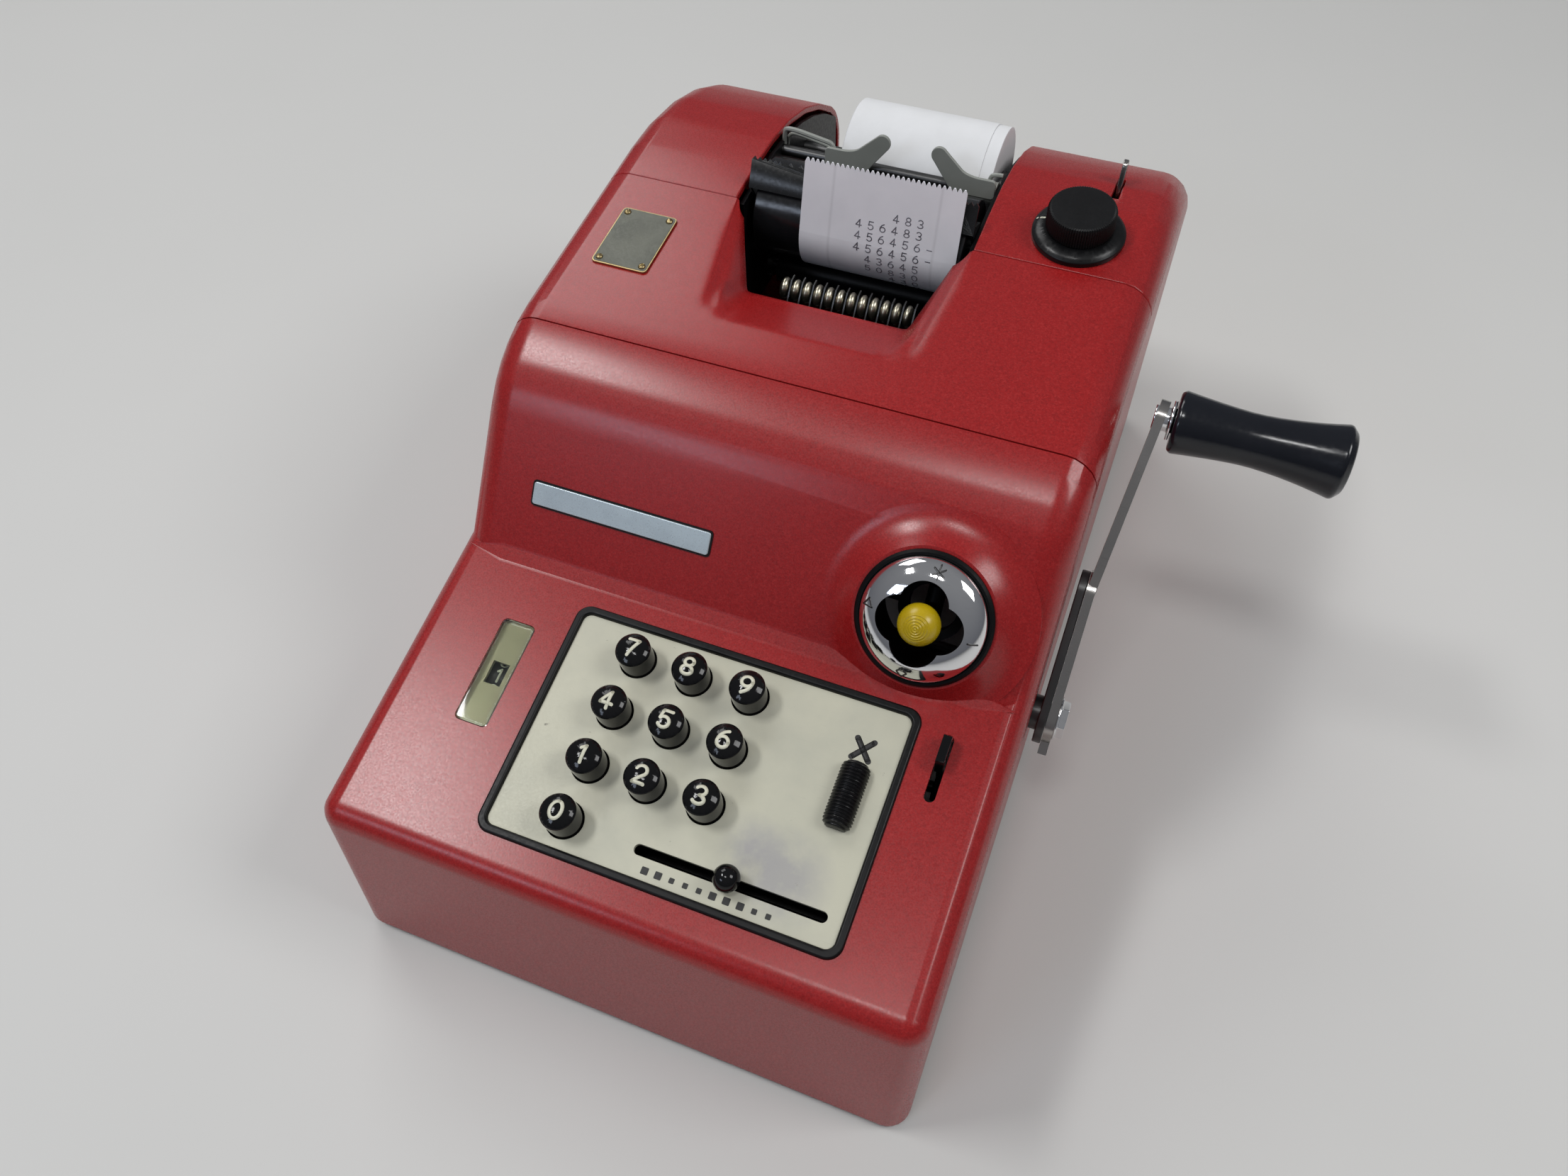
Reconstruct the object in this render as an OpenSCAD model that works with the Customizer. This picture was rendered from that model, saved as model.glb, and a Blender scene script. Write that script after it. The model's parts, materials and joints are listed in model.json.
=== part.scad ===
/* [Casing] */
// Width of the casing over its side walls
body_w = 203; // [195:1:230]
// Depth of the casing from the foot of the front wall to the back wall
body_d = 348; // [340:1:370]
// Thickness of the cast covers
wall = 2.5; // [2:0.1:3]
// Height of the covers' lower edge, which is also the height of the feet
foot_h = 4; // [3:0.5:6]
// Height of the front edge of the key deck
front_h = 73.5; // [72:0.5:80]
// How far the front wall leans back over its height
front_lean = 7; // [4:0.5:9]
// Tilt of the key deck
deck_angle = 10.9; // [9:0.1:12]
// Distance from the front to the foot of the panel slope
deck_d = 108; // [107:0.5:112]
// Tilt of the panel slope behind the keys
rise_angle = 52.2; // [50:0.2:55]
// Tilt of the top
top_angle = 5.6; // [4.5:0.1:6.5]
// Height of the highest point of the covers
top_h = 159.4; // [157:0.2:162]
// Radius of the round between the slope and the top
crown_r = 52; // [44:1:56]
// Radius of the falling rear of the top
rear_r = 115; // [105:1:120]
// How far the top turns down before the tighter back round
rear_turn = 38; // [34:1:40]
// Radius of the round above the back wall
back_r = 25; // [22:1:30]
// Round along the side edges of the upper part
side_r = 12; // [10:0.5:14]
// Round along the edges of the key deck
deck_r = 8; // [6:0.5:9]
// Distance from the front to the front seam
seam_front_d = 165; // [163:0.5:168]
// Gap at the seams between the covers
seam_gap = 0.5; // [0.3:0.1:0.8]
// Distance of the side frames from the side walls' outer faces
frame_inset = 12; // [11:0.5:14]

/* [Keyboard] */
// Distance of the rubber trim from the left wall
trim_left = 52.4; // [50:0.1:54]
// Distance of the rubber trim from the right side frame
trim_right = 18.4; // [17:0.1:20]
// Distance of the rubber trim from the foot of the slope
trim_gap = 9; // [8:0.1:10]
// Length of the rubber trim along the deck
trim_l = 81; // [80:0.5:83]
// Width of the rubber trim's rim
trim_t = 2.7; // [2.2:0.1:3.2]
// Distance from the trim to the middle of the left key column
key_margin_left = 23.8; // [22:0.1:25]
// Distance from the trim to the middle of the front key row
key_margin_front = 9.2; // [8:0.1:10]
// Distance from the trim to the middle of the back key row
key_margin_back = 10.3; // [9:0.1:11]
// Distance between the key columns
key_pitch_x = 19.8; // [18:0.1:20.5]
// Diameter of a key cap
key_d = 11.6; // [10.5:0.1:12.5]
// Height of a key cap over the deck
key_h = 11; // [9:0.5:12]
// Travel of a key
key_travel = 4.5; // [3.5:0.1:5]
// Diameter of a key stem
key_stem_d = 4; // [3:0.1:5]
// Thickness of the key plate
plate_t = 1.5; // [1:0.1:2]
// Depth of the stem guide below the deck
guide_depth = 18; // [16.5:0.5:20]
// Thickness of the stem guide
guide_t = 2; // [1.5:0.1:2.5]
// Distance of the column slot from the middle key column
slot_left = 4.2; // [3:0.1:6]
// Distance of the column slot from the trim's right side
slot_right = 7.2; // [6:0.1:9]
// Distance from the trim to the column slot
slot_margin = 8.5; // [8:0.1:9.5]
// Width of the column slot
slot_w = 3.4; // [3:0.1:4]
// Diameter of the column ball
ball_d = 8.5; // [7.5:0.1:9.5]
// Distance of the multiplier key's middle from the trim's right side
mult_right = 14.2; // [13:0.1:15]
// Distance of the multiplier key's middle from the trim's front
mult_front = 47.5; // [46:0.1:49]
// Width of the multiplier key
mult_w = 9; // [8:0.1:10]
// Length of the multiplier key
mult_l = 21.5; // [20:0.5:22]
// Travel of the multiplier key
mult_travel = 5; // [4:0.1:6]

/* [Controls] */
// Distance of the mode lever from the right side frame
mode_inset = 9; // [8.5:0.1:10]
// Distance of the mode lever's slot behind the trim's front
mode_front = 54; // [53:0.5:55]
// Length of the mode lever's slot
mode_l = 22.5; // [22:0.5:25]
// Width of the mode lever's slot
mode_w = 3.6; // [3.2:0.1:4]
// Swing of the mode lever
mode_swing = 11; // [6:1:11]
// Distance of the counter window from the left side frame
window_inset = 17.3; // [16:0.1:18]
// Width of the counter window
window_w = 12; // [10:0.1:12.5]
// Distance of the counter window behind the trim's front
window_front = 30.3; // [29:0.1:32]
// Length of the counter window
window_l = 37.5; // [34:0.5:38]
// Diameter of the counter wheel
counter_d = 18; // [16:0.5:19]
// Distance of the selector from the right side frame
sel_inset = 26.4; // [25.5:0.1:28]
// Selector up the slope from its foot
sel_s = 22.6; // [22:0.1:24]
// Height of the boss under the selector
sel_boss_h = 6; // [5:0.1:7]
// Outer diameter of the selector bezel
sel_bezel_d = 43.8; // [43:0.1:45]
// Diameter of the selector dome
sel_dome_d = 40.3; // [39:0.1:41]
// Height of the selector dome over the boss
sel_dome_h = 8; // [7:0.1:9]
// Radius of one lobe of the selector gate
sel_lobe_r = 7.7; // [7.4:0.1:8]
// Distance of the lobes from the middle of the gate
sel_lobe_at = 6.1; // [5.9:0.1:6.4]
// Diameter of the selector knob
sel_knob_d = 13.4; // [12.5:0.1:13.6]
// Tilt of the selector each way
sel_tilt = 6; // [4:1:6]
// Diameter of the selector stem
sel_stem_d = 4; // [3.5:0.1:4.2]
// Distance of the name strip from the left wall
strip_left = 25.6; // [24:0.1:27]
// Width of the name strip
strip_w = 64.8; // [62:0.1:66]
// Height of the name strip
strip_h = 7.7; // [7:0.1:8.5]
// Lower edge of the name strip up the slope
strip_s = 20.2; // [18:0.1:21]
// Distance of the corner plate on the top cover from the left wall
badge_left = 17.4; // [16:0.1:19]
// Width of the corner plate
badge_w = 21; // [20:0.5:22]
// Distance from the front seam to the corner plate
badge_back = 29; // [27:0.5:31]
// Length of the corner plate
badge_l = 28; // [26:0.5:30]
// Thickness of the name strip and the corner plate
badge_t = 0.8; // [0.6:0.1:1]

/* [Printer] */
// Distance from the back wall to the feed knob
knob_back = 91.5; // [91:0.1:92.5]
// Distance of the feed knob from the right side frame
knob_inset = 19.1; // [18:0.1:20]
// Depth of the platen axis below the feed knob's seat
platen_drop = 15.8; // [15.2:0.1:16.2]
// Diameter of the platen
platen_d = 34; // [33:0.1:34.4]
// Width of the paper tape
paper_w = 58; // [56:0.5:60]
// Centre of the paper tape across the machine
paper_x = 3.9; // [3:0.1:5]
// Thickness of the paper tape as modelled
paper_t = 0.4; // [0.3:0.05:0.5]
// Free room in the paper well to the left of the tape
well_left = 23; // [22:0.1:24]
// Free room in the paper well to the right of the tape
well_right = 6; // [5.5:0.1:7]
// Depth of the paper well's floor below the platen axis
well_drop = 35; // [34:0.5:38]
// Distance from the rear seam to the feed knob
seam_rear = 17.5; // [16.5:0.1:18]
// Outer diameter of the paper roll
roll_d = 44; // [36:1:45]
// Distance from the platen axis to the paper roll's axis
roll_back = 44; // [43:0.5:45]
// Height of the platen axis over the paper roll's axis
roll_drop = 4; // [2:0.5:6]
// Diameter of the roll's core
core_d = 12; // [10:0.5:14]
// Diameter of the roll's spindle beside the core
spindle_d = 5; // [4:0.5:6]
// Number of printing hammers
hammers = 12; // [10:1:13]
// Distance between the printing hammers
hammer_pitch = 4.2; // [4:0.1:4.4]
// Diameter of the feed knob
knob_d = 23; // [21:0.5:25]
// Height of the feed knob
knob_h = 8.5; // [7.5:0.5:10]
// Diameter of the knob's collar
flange_d = 31.5; // [31:0.5:34]
// Distance of the release lever from the right side frame
release_inset = 12.1; // [11:0.1:13]
// Swing of the release lever
release_swing = 9; // [6:1:9]

/* [Crank] */
// Distance from the front to the crank shaft
crank_at = 131; // [130:0.5:133]
// Height of the crank shaft
crank_z = 61; // [59:0.5:63]
// Gap between the side wall and the crank
crank_gap = 2.4; // [2:0.1:5]
// Length of the crank arm
crank_l = 105; // [98:1:110]
// Angle of the crank arm at rest, up from the rear
crank_rest = 45.4; // [42:0.1:50]
// Swing of the crank
crank_swing = 95; // [80:1:100]
// Diameter of the crank shaft
crank_shaft_d = 8; // [7:0.1:9]
// Thickness of the crank arm
arm_t = 3; // [2.5:0.1:3.5]
// How far the arm's upper part leans outwards
arm_out = 5; // [3:0.5:6]
// Length of the hand grip
grip_l = 54; // [50:1:62]
// Largest diameter of the hand grip
grip_d = 24; // [22:0.5:26]
// Diameter of the grip's pin
grip_pin_d = 8; // [7:0.1:9]

/* [Fits] */
// Radial clearance of a running shaft
run = 0.05; // [0.03:0.01:0.08]
// Clearance between two fixed pieces
seat = 0.1; // [0.05:0.01:0.2]
// Clearance between pieces that move past each other
free = 0.4; // [0.35:0.05:0.6]

/* [Hidden] */
KEYS = ["key_0", "key_1", "key_2", "key_3", "key_4", "key_5", "key_6", "key_7", "key_8", "key_9"];
$fn = 64;
eps = 0.01;
far = 400;

// Outline of the casing, as distance from the front and height
function yf(d) = d - body_d / 2;
function turn(a) = [cos(a), sin(a)];
function inward(a) = [sin(a), -cos(a)];
function cross2(u, v) = u[0] * v[1] - u[1] * v[0];
function line_hit(p, a, q, b) = p + turn(a) * cross2(q - p, turn(b)) / cross2(turn(a), turn(b));
function arc(c, r, a, b, n) = [for (i = [0:n]) c + r * turn(a + (b - a) * i / n)];
deck_z0 = front_h - front_lean * tan(deck_angle);
deck_end = [deck_d, deck_z0 + deck_d * tan(deck_angle)];
front_angle = atan2(front_h - foot_h, front_lean);
peak_d = body_d - back_r - (rear_r - back_r) * sin(rear_turn);
rear_c = [peak_d, top_h - rear_r];
back_c = rear_c + (rear_r - back_r) * [sin(rear_turn), cos(rear_turn)];
top_ref = rear_c + rear_r * turn(90 + top_angle);
crown_c = line_hit(deck_end + crown_r * inward(rise_angle), rise_angle,
                   top_ref + crown_r * inward(top_angle), top_angle);
sink = 20;
function top_z(d) = top_ref[1] + (d - top_ref[0]) * tan(top_angle);

// Places on the deck and the slope that several pieces share
frame_x = body_w / 2 - frame_inset;
frame_t = 2.5;
base_t = 2;
base_top = foot_h + base_t;
trim_x0 = trim_left - body_w / 2;
trim_x1 = frame_x - trim_right;
trim_w = trim_x1 - trim_x0;
trim_v0 = deck_d / cos(deck_angle) - trim_gap - trim_l;
keys_x = trim_x0 + trim_t + key_margin_left + key_pitch_x;
key_pitch_v = (trim_l - 2 * trim_t - key_margin_front - key_margin_back) / 3;
key_top_v = trim_v0 + trim_l - trim_t - key_margin_back;
slot_x0 = keys_x + slot_left;
slot_l = trim_x1 - slot_right - slot_x0;
slot_v = trim_v0 + trim_t + slot_margin;
mult_x = trim_x1 - mult_right;
mult_v = trim_v0 + mult_front;
mode_x = frame_x - mode_inset;
mode_v0 = trim_v0 + mode_front;
window_x0 = window_inset - frame_x;
window_v0 = trim_v0 + window_front;
sel_x = frame_x - sel_inset;
strip_x0 = strip_left - body_w / 2;
badge_x0 = badge_left - body_w / 2;
badge_d0 = seam_front_d + badge_back;
stem_room = 2;
stem_len = guide_depth + guide_t + key_travel + stem_room;
rail_depth = guide_depth + guide_t + 2 * key_travel;
rail_d = 4;
carriage_v = 13;
carriage_w = 24;
carriage_h = 10;
ball_x = slot_x0 + slot_l / 2;
ball_stem_d = slot_w - 2 * free;
slide_travel = (slot_l - ball_stem_d) / 2 - free;
mode_depth = 36;
mode_head_l = 10.5;
mode_end_gap = 1.5;
mode_v = mode_v0 + mode_l - mode_head_l / 2 - mode_end_gap;
mode_rod_d = 4;
mask_t = 1.5;
mask_depth = wall + seat;
counter_depth = mask_depth + mask_t + free + counter_d / 2;
sel_pivot = -10;
sel_cup_d = sel_dome_d - 2;
sel_rim = sel_boss_h + sel_dome_h;
knob_sink = 1.9;

// Places in the printer and on the crank that several pieces share
knob_at = body_d - knob_back;
knob_x = frame_x - knob_inset;
release_x = frame_x - release_inset;
seam_rear_d = knob_at - seam_rear;
liner_t = 1.5;
liner_gap = 0.5;
well_x0 = paper_x - paper_w / 2 - well_left;
well_x1 = paper_x + paper_w / 2 + well_right;
well_w = well_x1 - well_x0;
platen_z = top_z(knob_at) - platen_drop;
platen_at = knob_at + platen_drop * tan(top_angle);
platen_axis = [platen_at, platen_z];
platen_r = platen_d / 2;
platen_gap = 2.5;
platen_shaft_d = 6;
well_z = platen_z - well_drop;
roll_at = platen_at + roll_back;
roll_z = platen_z - roll_drop;
knob_shaft_d = 6;
tooth_pitch = 3.93;
pinion_teeth = 10;
crown_teeth = 16;
pinion_r = pinion_teeth * tooth_pitch / (2 * PI);
crown_gear_r = crown_teeth * tooth_pitch / (2 * PI);
tooth_w = 1.2;
tooth_h = 1.1;
gear_face = 4;
press_d = 12;
press_pin_d = 4;
press_angle = -100;
press_reach = platen_r + free + paper_t + free + press_d / 2;
press_at = platen_axis + press_reach * turn(press_angle);
release_at = platen_axis + [15, -33];
release_tip = platen_axis + [35, 10];
release_slot = [platen_at + 24, platen_at + 42];
release_shaft_d = 5;
finger_rod_d = 4;
finger_at = platen_axis + [21, 9];
hammer_shaft_d = 5;
hammer_axis = platen_axis - [54, 31];
hammer_head = platen_axis - [32, 9];
hub_d = 12;
crank_x = body_w / 2 + crank_gap;
arm_x = crank_x + arm_t;
grip_gap = 3;
grip_x = arm_x + arm_t + arm_out + grip_gap;
grip_at = [crank_at, crank_z] + crank_l * turn(crank_rest);
middle_x = (grip_x + grip_l - body_w / 2) / 2;

// Moves to the deck, the slope and the top, and rods across the machine
module on_deck(x, v, h = 0) {
  translate([0, yf(0), deck_z0]) rotate([deck_angle, 0, 0]) translate([x, v, h]) children();
}
module on_slope(x, s, h = 0) {
  translate([0, yf(deck_end[0]), deck_end[1]]) rotate([rise_angle, 0, 0]) translate([x, s, h]) children();
}
module on_top(x, d, h = 0) {
  translate([x, yf(d), top_z(d)]) rotate([top_angle, 0, 0]) translate([0, 0, h]) children();
}
module rod_x(d, z, dia, x0, x1) {
  translate([x0, yf(d), z]) rotate([0, 90, 0]) cylinder(d = dia, h = x1 - x0);
}
module sheet_x(x, t) {
  translate([x, 0, 0]) rotate([90, 0, 90]) linear_extrude(t) children();
}
module round_rect(w, l, r) {
  translate([r, 0]) square([w - 2 * r, l]);
  translate([0, r]) square([w, l - 2 * r]);
  for (x = [r, w - r], y = [r, l - r]) translate([x, y]) circle(r);
}
module slot2d(w, l) {
  translate([-w / 2, w / 2]) square([w, l - w]);
  for (y = [w / 2, l - w / 2]) translate([0, y]) circle(d = w);
}

// The two rounded blocks that the covers are cut from; inset makes the hollow
module rounded_block(points, r, inset) {
  hull() for (p = points, side = [-1, 1])
    translate([side * (body_w / 2 - r), yf(p[0]), p[1]]) sphere(r - inset, $fn = 24);
}
function upper_points(r) = concat(
  [line_hit(deck_end + r * inward(rise_angle), rise_angle, [0, -sink], 0)],
  arc(crown_c, crown_r - r, 90 + rise_angle, 90 + top_angle, 5),
  arc(rear_c, rear_r - r, 90 + top_angle, 90 - rear_turn, 5),
  arc(back_c, back_r - r, 90 - rear_turn, 0, 4),
  [[body_d - r, -sink]]);
function deck_line(r) = [0, deck_z0] + r * inward(deck_angle);
function front_line(r) = [0, foot_h] + r * inward(front_angle);
function deck_points(r) = [
  line_hit(front_line(r), front_angle, [0, -sink], 0),
  line_hit(front_line(r), front_angle, deck_line(r), deck_angle),
  line_hit(deck_line(r), deck_angle, [deck_d + 2 * deck_r, 0], 90),
  [deck_d + 2 * deck_r, -sink]];
module upper_block(inset) { rounded_block(upper_points(side_r), side_r, inset); }
module deck_block(inset) { rounded_block(deck_points(deck_r), deck_r, inset); }
module slice(d0, d1, z0 = foot_h) {
  translate([-far / 2, yf(d0), z0]) cube([far, d1 - d0, far]);
}

// Base, feet, frames and the rods between them
foot_inset = [26, 32];
module base_plate() {
  inset = wall + 3 * seat;
  color("dimgray") translate([-body_w / 2 + inset, yf(inset), foot_h])
    linear_extrude(base_t) round_rect(body_w - 2 * inset, body_d - 2 * inset, side_r - wall);
}
foot_d = 18;
module rubber_feet() {
  color("black") for (x = [-1, 1], y = [-1, 1])
    translate([x * (body_w / 2 - foot_inset[0]), y * (body_d / 2 - foot_inset[1]), 0])
      cylinder(d1 = foot_d * 5 / 6, d2 = foot_d, h = foot_h);
}
tie_d = 6;
rods = concat(
  [for (p = [[0.086, 22], [0.474, 30], [0.647, 40], [0.914, 40]]) [p[0] * body_d, p[1], tie_d]],
  [[hammer_axis[0], hammer_axis[1], hammer_shaft_d], [finger_at[0], finger_at[1], finger_rod_d]]);
function deck_spot(v, h) = [v * cos(deck_angle) - h * sin(deck_angle),
                            deck_z0 + v * sin(deck_angle) + h * cos(deck_angle)];
rails = [for (side = [-1, 1]) deck_spot(slot_v + side * carriage_v / 2, -rail_depth)];
mode_pivot = deck_spot(mode_v, -mode_depth);
all_rods = concat(rods, [for (p = rails) [p[0], p[1], rail_d]], [[mode_pivot[0], mode_pivot[1], mode_rod_d]]);
rod_end = frame_x + frame_t + 1;
bush_d = 14;
bush_rim = 2;
bush_shafts = [
  [crank_at, crank_z, crank_shaft_d], [platen_at, platen_z, platen_shaft_d],
  [release_at[0], release_at[1], release_shaft_d]];
frame_margin = 9;
module side_frame(side) {
  color("slategray") difference() {
    sheet_x(side > 0 ? frame_x : -frame_x - frame_t, frame_t) translate([-body_d / 2, 0]) polygon(concat(
      [[front_lean + frame_margin, base_top],
       line_hit(front_line(frame_margin), front_angle, deck_line(frame_margin), deck_angle),
       line_hit(deck_end + frame_margin * inward(rise_angle), rise_angle,
                deck_line(frame_margin), deck_angle)],
      arc(crown_c, crown_r - frame_margin, 90 + rise_angle, 90 + top_angle, 5),
      arc(rear_c, rear_r - frame_margin, 90 + top_angle, 90 - rear_turn, 5),
      arc(back_c, back_r - frame_margin, 90 - rear_turn, 0, 4),
      [[body_d - frame_margin, base_top]]));
    for (p = all_rods) rod_x(p[0], p[1], p[2] + 2 * seat, -far / 2, far / 2);
    for (p = bush_shafts) rod_x(p[0], p[1], bush_d + 2 * seat, -far / 2, far / 2);
  }
}
module side_frame_left() { side_frame(-1); }
module side_frame_right() { side_frame(1); }
module cross_rods() {
  color("silver") for (p = all_rods) rod_x(p[0], p[1], p[2], -rod_end, rod_end);
}
module shaft_bushes() {
  color("goldenrod") for (p = bush_shafts, side = [-1, 1]) difference() {
    union() {
      x = side > 0 ? frame_x - bush_rim : -frame_x - frame_t - bush_rim;
      rod_x(p[0], p[1], bush_d, x, x + frame_t + 2 * bush_rim);
      rod_x(p[0], p[1], bush_d + 2 * bush_rim, side > 0 ? frame_x - bush_rim : -frame_x + seat,
            side > 0 ? frame_x - seat : -frame_x + bush_rim);
    }
    rod_x(p[0], p[1], p[2] + 2 * run, -far / 2, far / 2);
  }
}

// The three painted covers
boss_r = sel_bezel_d / 2 + 1;
boss_flare = 12;
module sel_boss() {
  on_slope(sel_x, sel_s, -2 * wall) cylinder(r = boss_r, h = 2 * wall + sel_boss_h);
  on_slope(sel_x, sel_s) rotate_extrude() polygon(concat(
    [[0, -wall], [boss_r + boss_flare, -wall]],
    [for (i = [0:6]) [boss_r + boss_flare * (1 - i / 6), sel_boss_h * pow(i / 6, 2)]],
    [[0, sel_boss_h]]));
}
trim_r = 5;
plate_r = 3;
window_r = 2;
module front_cover() {
  color("firebrick") difference() {
    union() {
      difference() {
        union() { upper_block(0); deck_block(0); }
        upper_block(wall);
        deck_block(wall);
      }
      intersection() { sel_boss(); slice(deck_d - 30, seam_front_d); }
    }
    slice(-far / 2, far, foot_h - far);
    slice(seam_front_d - seam_gap / 2, far);
    on_deck(trim_x0 - seat, trim_v0 - seat, -far / 4) linear_extrude(far / 2)
      round_rect(trim_w + 2 * seat, trim_l + 2 * seat, trim_r + seat);
    on_deck(window_x0 - seat, window_v0 - seat, -2 * wall) linear_extrude(4 * wall)
      round_rect(window_w + 2 * seat, window_l + 2 * seat, window_r);
    on_deck(mode_x, mode_v0, -2 * wall) linear_extrude(4 * wall) slot2d(mode_w, mode_l);
    on_slope(sel_x, sel_s, -far / 8) cylinder(d = sel_cup_d + 2 * seat, h = far / 4);
    rod_x(crank_at, crank_z, hub_d + 2 * free, body_w / 2 - 3 * wall, far / 2);
  }
}
scoop_r = 6;
scoop_top = [knob_at - 72.5, top_z(knob_at - 72.5)];
scoop_low = platen_axis - [48.5, 1];
scoop_end = [seam_rear_d + 3, top_z(seam_rear_d + 3)];
scoop_x = [well_x0 + 9, well_x1 - 4.5];
scoop_low_x = [well_x0 + 12, well_x1 - 9.5];
scoop_front_r = 12;
rim_r = 4;
rim_fade = [0.05, 1, 0.1];
hole_r = 3;
function slant(p, q) = atan2(q[1] - p[1], q[0] - p[0]);
module scoop(grow) {
  top = scoop_top - scoop_front_r * inward(slant(scoop_top, scoop_low));
  end = scoop_end - scoop_r * inward(slant(scoop_low, scoop_end));
  hull() for (side = [0, 1], up = [0, 5 * scoop_r]) {
    step = side > 0 ? -scoop_r : scoop_r;
    front_step = side > 0 ? -scoop_front_r : scoop_front_r;
    translate([scoop_x[side] + front_step, yf(top[0]), top[1] + up])
      sphere(scoop_front_r + grow, $fn = 36);
    translate([scoop_low_x[side] + step, yf(scoop_low[0]), scoop_low[1] + scoop_r + up])
      sphere(scoop_r + grow, $fn = 24);
    translate([(side > 0 ? well_x1 : well_x0) + step, yf(end[0]), end[1] + up])
      sphere(scoop_r + grow, $fn = 24);
  }
}
// One of three chamfers that round the rim of the scoop, fading out at its front and at the seam
module scoop_rim(k) {
  top = scoop_top - scoop_front_r * inward(slant(scoop_top, scoop_low));
  depths = [top[0], scoop_low[0], scoop_end[0]];
  radii = [scoop_front_r, scoop_r, scoop_r];
  low = 1 - sin(30 * k);
  high = 1 - sin(30 * k + 30);
  hull() for (side = [0, 1], i = [0:2]) {
    edges = [scoop_x[side], scoop_low_x[side], side > 0 ? well_x1 : well_x0];
    rim = rim_r * rim_fade[i];
    translate([edges[i] + (side > 0 ? -radii[i] : radii[i]), yf(depths[i]), top_z(depths[i]) - rim * low])
      cylinder(r1 = radii[i] + rim * (1 - cos(30 * k)), r2 = radii[i] + rim * (1 - cos(30 * k + 30)),
               h = rim * (low - high) + eps);
  }
}
module scoop_hole() {
  hull() for (side = [0, 1]) {
    step = side > 0 ? -hole_r : hole_r;
    translate([scoop_low_x[side] + step, yf(scoop_low[0] + hole_r), scoop_low[1] - 5 * scoop_r])
      cylinder(r = hole_r, h = 5 * scoop_r + free);
    translate([(side > 0 ? well_x1 : well_x0) + step, yf(scoop_end[0]), scoop_end[1] - 5 * scoop_r])
      cylinder(r = hole_r, h = 5 * scoop_r + free);
  }
}
module top_cover() {
  color("firebrick") difference() {
    intersection() {
      upper_block(0);
      union() {
        difference() {
          slice(seam_front_d + seam_gap / 2, seam_rear_d - seam_gap / 2);
          upper_block(wall);
        }
        scoop(wall);
      }
      slice(seam_front_d + seam_gap / 2, seam_rear_d - seam_gap / 2);
    }
    scoop(0);
    for (k = [0:2]) scoop_rim(k);
    scoop_hole();
  }
}
release_t = 1.8;
module rear_cover() {
  color("firebrick") difference() {
    intersection() {
      upper_block(0);
      slice(seam_rear_d + seam_gap / 2, far);
    }
    upper_block(wall);
    translate([well_x0, yf(seam_rear_d - 1), well_z]) cube([well_w, body_d, far]);
    on_top(knob_x, knob_at, -far / 8) cylinder(d = flange_d / 2 + 2 * seat, h = far / 4);
    translate([release_x - release_t / 2 - free, yf(release_slot[0]), release_at[1]])
      cube([release_t + 2 * free, release_slot[1] - release_slot[0], far]);
  }
}

// Key plate, its trim and the stem guide
trim_lip = 1;
module keyboard_trim() {
  color("black") on_deck(trim_x0, trim_v0, -wall) linear_extrude(wall + trim_lip) difference() {
    round_rect(trim_w, trim_l, trim_r);
    translate([trim_t, trim_t]) round_rect(trim_w - 2 * trim_t, trim_l - 2 * trim_t, plate_r);
  }
}
function key_col(n) = n == 0 ? 0 : (n - 1) % 3;
function key_row(n) = n == 0 ? 3 : 2 - floor((n - 1) / 3);
function key_x(n) = keys_x + (key_col(n) - 1) * key_pitch_x;
function key_v(n) = key_top_v - key_row(n) * key_pitch_v;
plate_in = trim_t + seat;
plate_sink = 0.3;
mult_stem = [2.2, 7];
mult_slot_w = mult_stem[0] + 2 * free;
mult_slot_l = mult_stem[1] + mult_travel + 2 * free + mult_slot_w;
module keyboard_plate() {
  color("lightgray") on_deck(0, 0, -plate_t - plate_sink) difference() {
    translate([trim_x0 + plate_in, trim_v0 + plate_in]) linear_extrude(plate_t)
      round_rect(trim_w - 2 * plate_in, trim_l - 2 * plate_in, plate_r - seat);
    for (n = [0:9]) translate([key_x(n), key_v(n), -1]) cylinder(d = key_d + 2 * free, h = plate_t + 2);
    translate([slot_x0, slot_v, -1]) linear_extrude(plate_t + 2) rotate(-90) slot2d(slot_w, slot_l);
    translate([mult_x, mult_v - mult_slot_l + mult_stem[1] / 2 + free + mult_slot_w / 2, -1])
      linear_extrude(plate_t + 2) slot2d(mult_slot_w, mult_slot_l);
  }
}
post_inset = 4;
post_d = 5;
guide_room = 6;
module key_guide_plate() {
  color("darkgray") on_deck(0, 0, -guide_depth - guide_t) {
    difference() {
      translate([-frame_x, trim_v0 + trim_t, 0]) cube([2 * frame_x, trim_l - 2 * trim_t, guide_t]);
      for (n = [0:9])
        translate([key_x(n), key_v(n), -1]) cylinder(d = key_stem_d + 2 * run, h = guide_t + 2);
      translate([slot_x0, slot_v, -1]) linear_extrude(guide_t + 2) rotate(-90) slot2d(slot_w, slot_l);
      translate([window_x0 - guide_room, window_v0 - guide_room, -1])
        cube([window_w + 2 * guide_room, window_l + 2 * guide_room, guide_t + 2]);
      translate([mode_x - guide_room, mode_v0 - guide_room, -1])
        cube([2 * guide_room, mode_l + 2 * guide_room, guide_t + 2]);
    }
    for (x = [trim_x0 + plate_in + post_inset, trim_x0 + trim_w - plate_in - post_inset],
         v = [trim_v0 + plate_in + post_inset, trim_v0 + trim_l - plate_in - post_inset])
      translate([x, v, guide_t]) cylinder(d = post_d, h = guide_depth - plate_t - plate_sink);
  }
}
cap_sink = 4;
cap_dome = 1.6;
cap_edge = 0.8;
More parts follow.
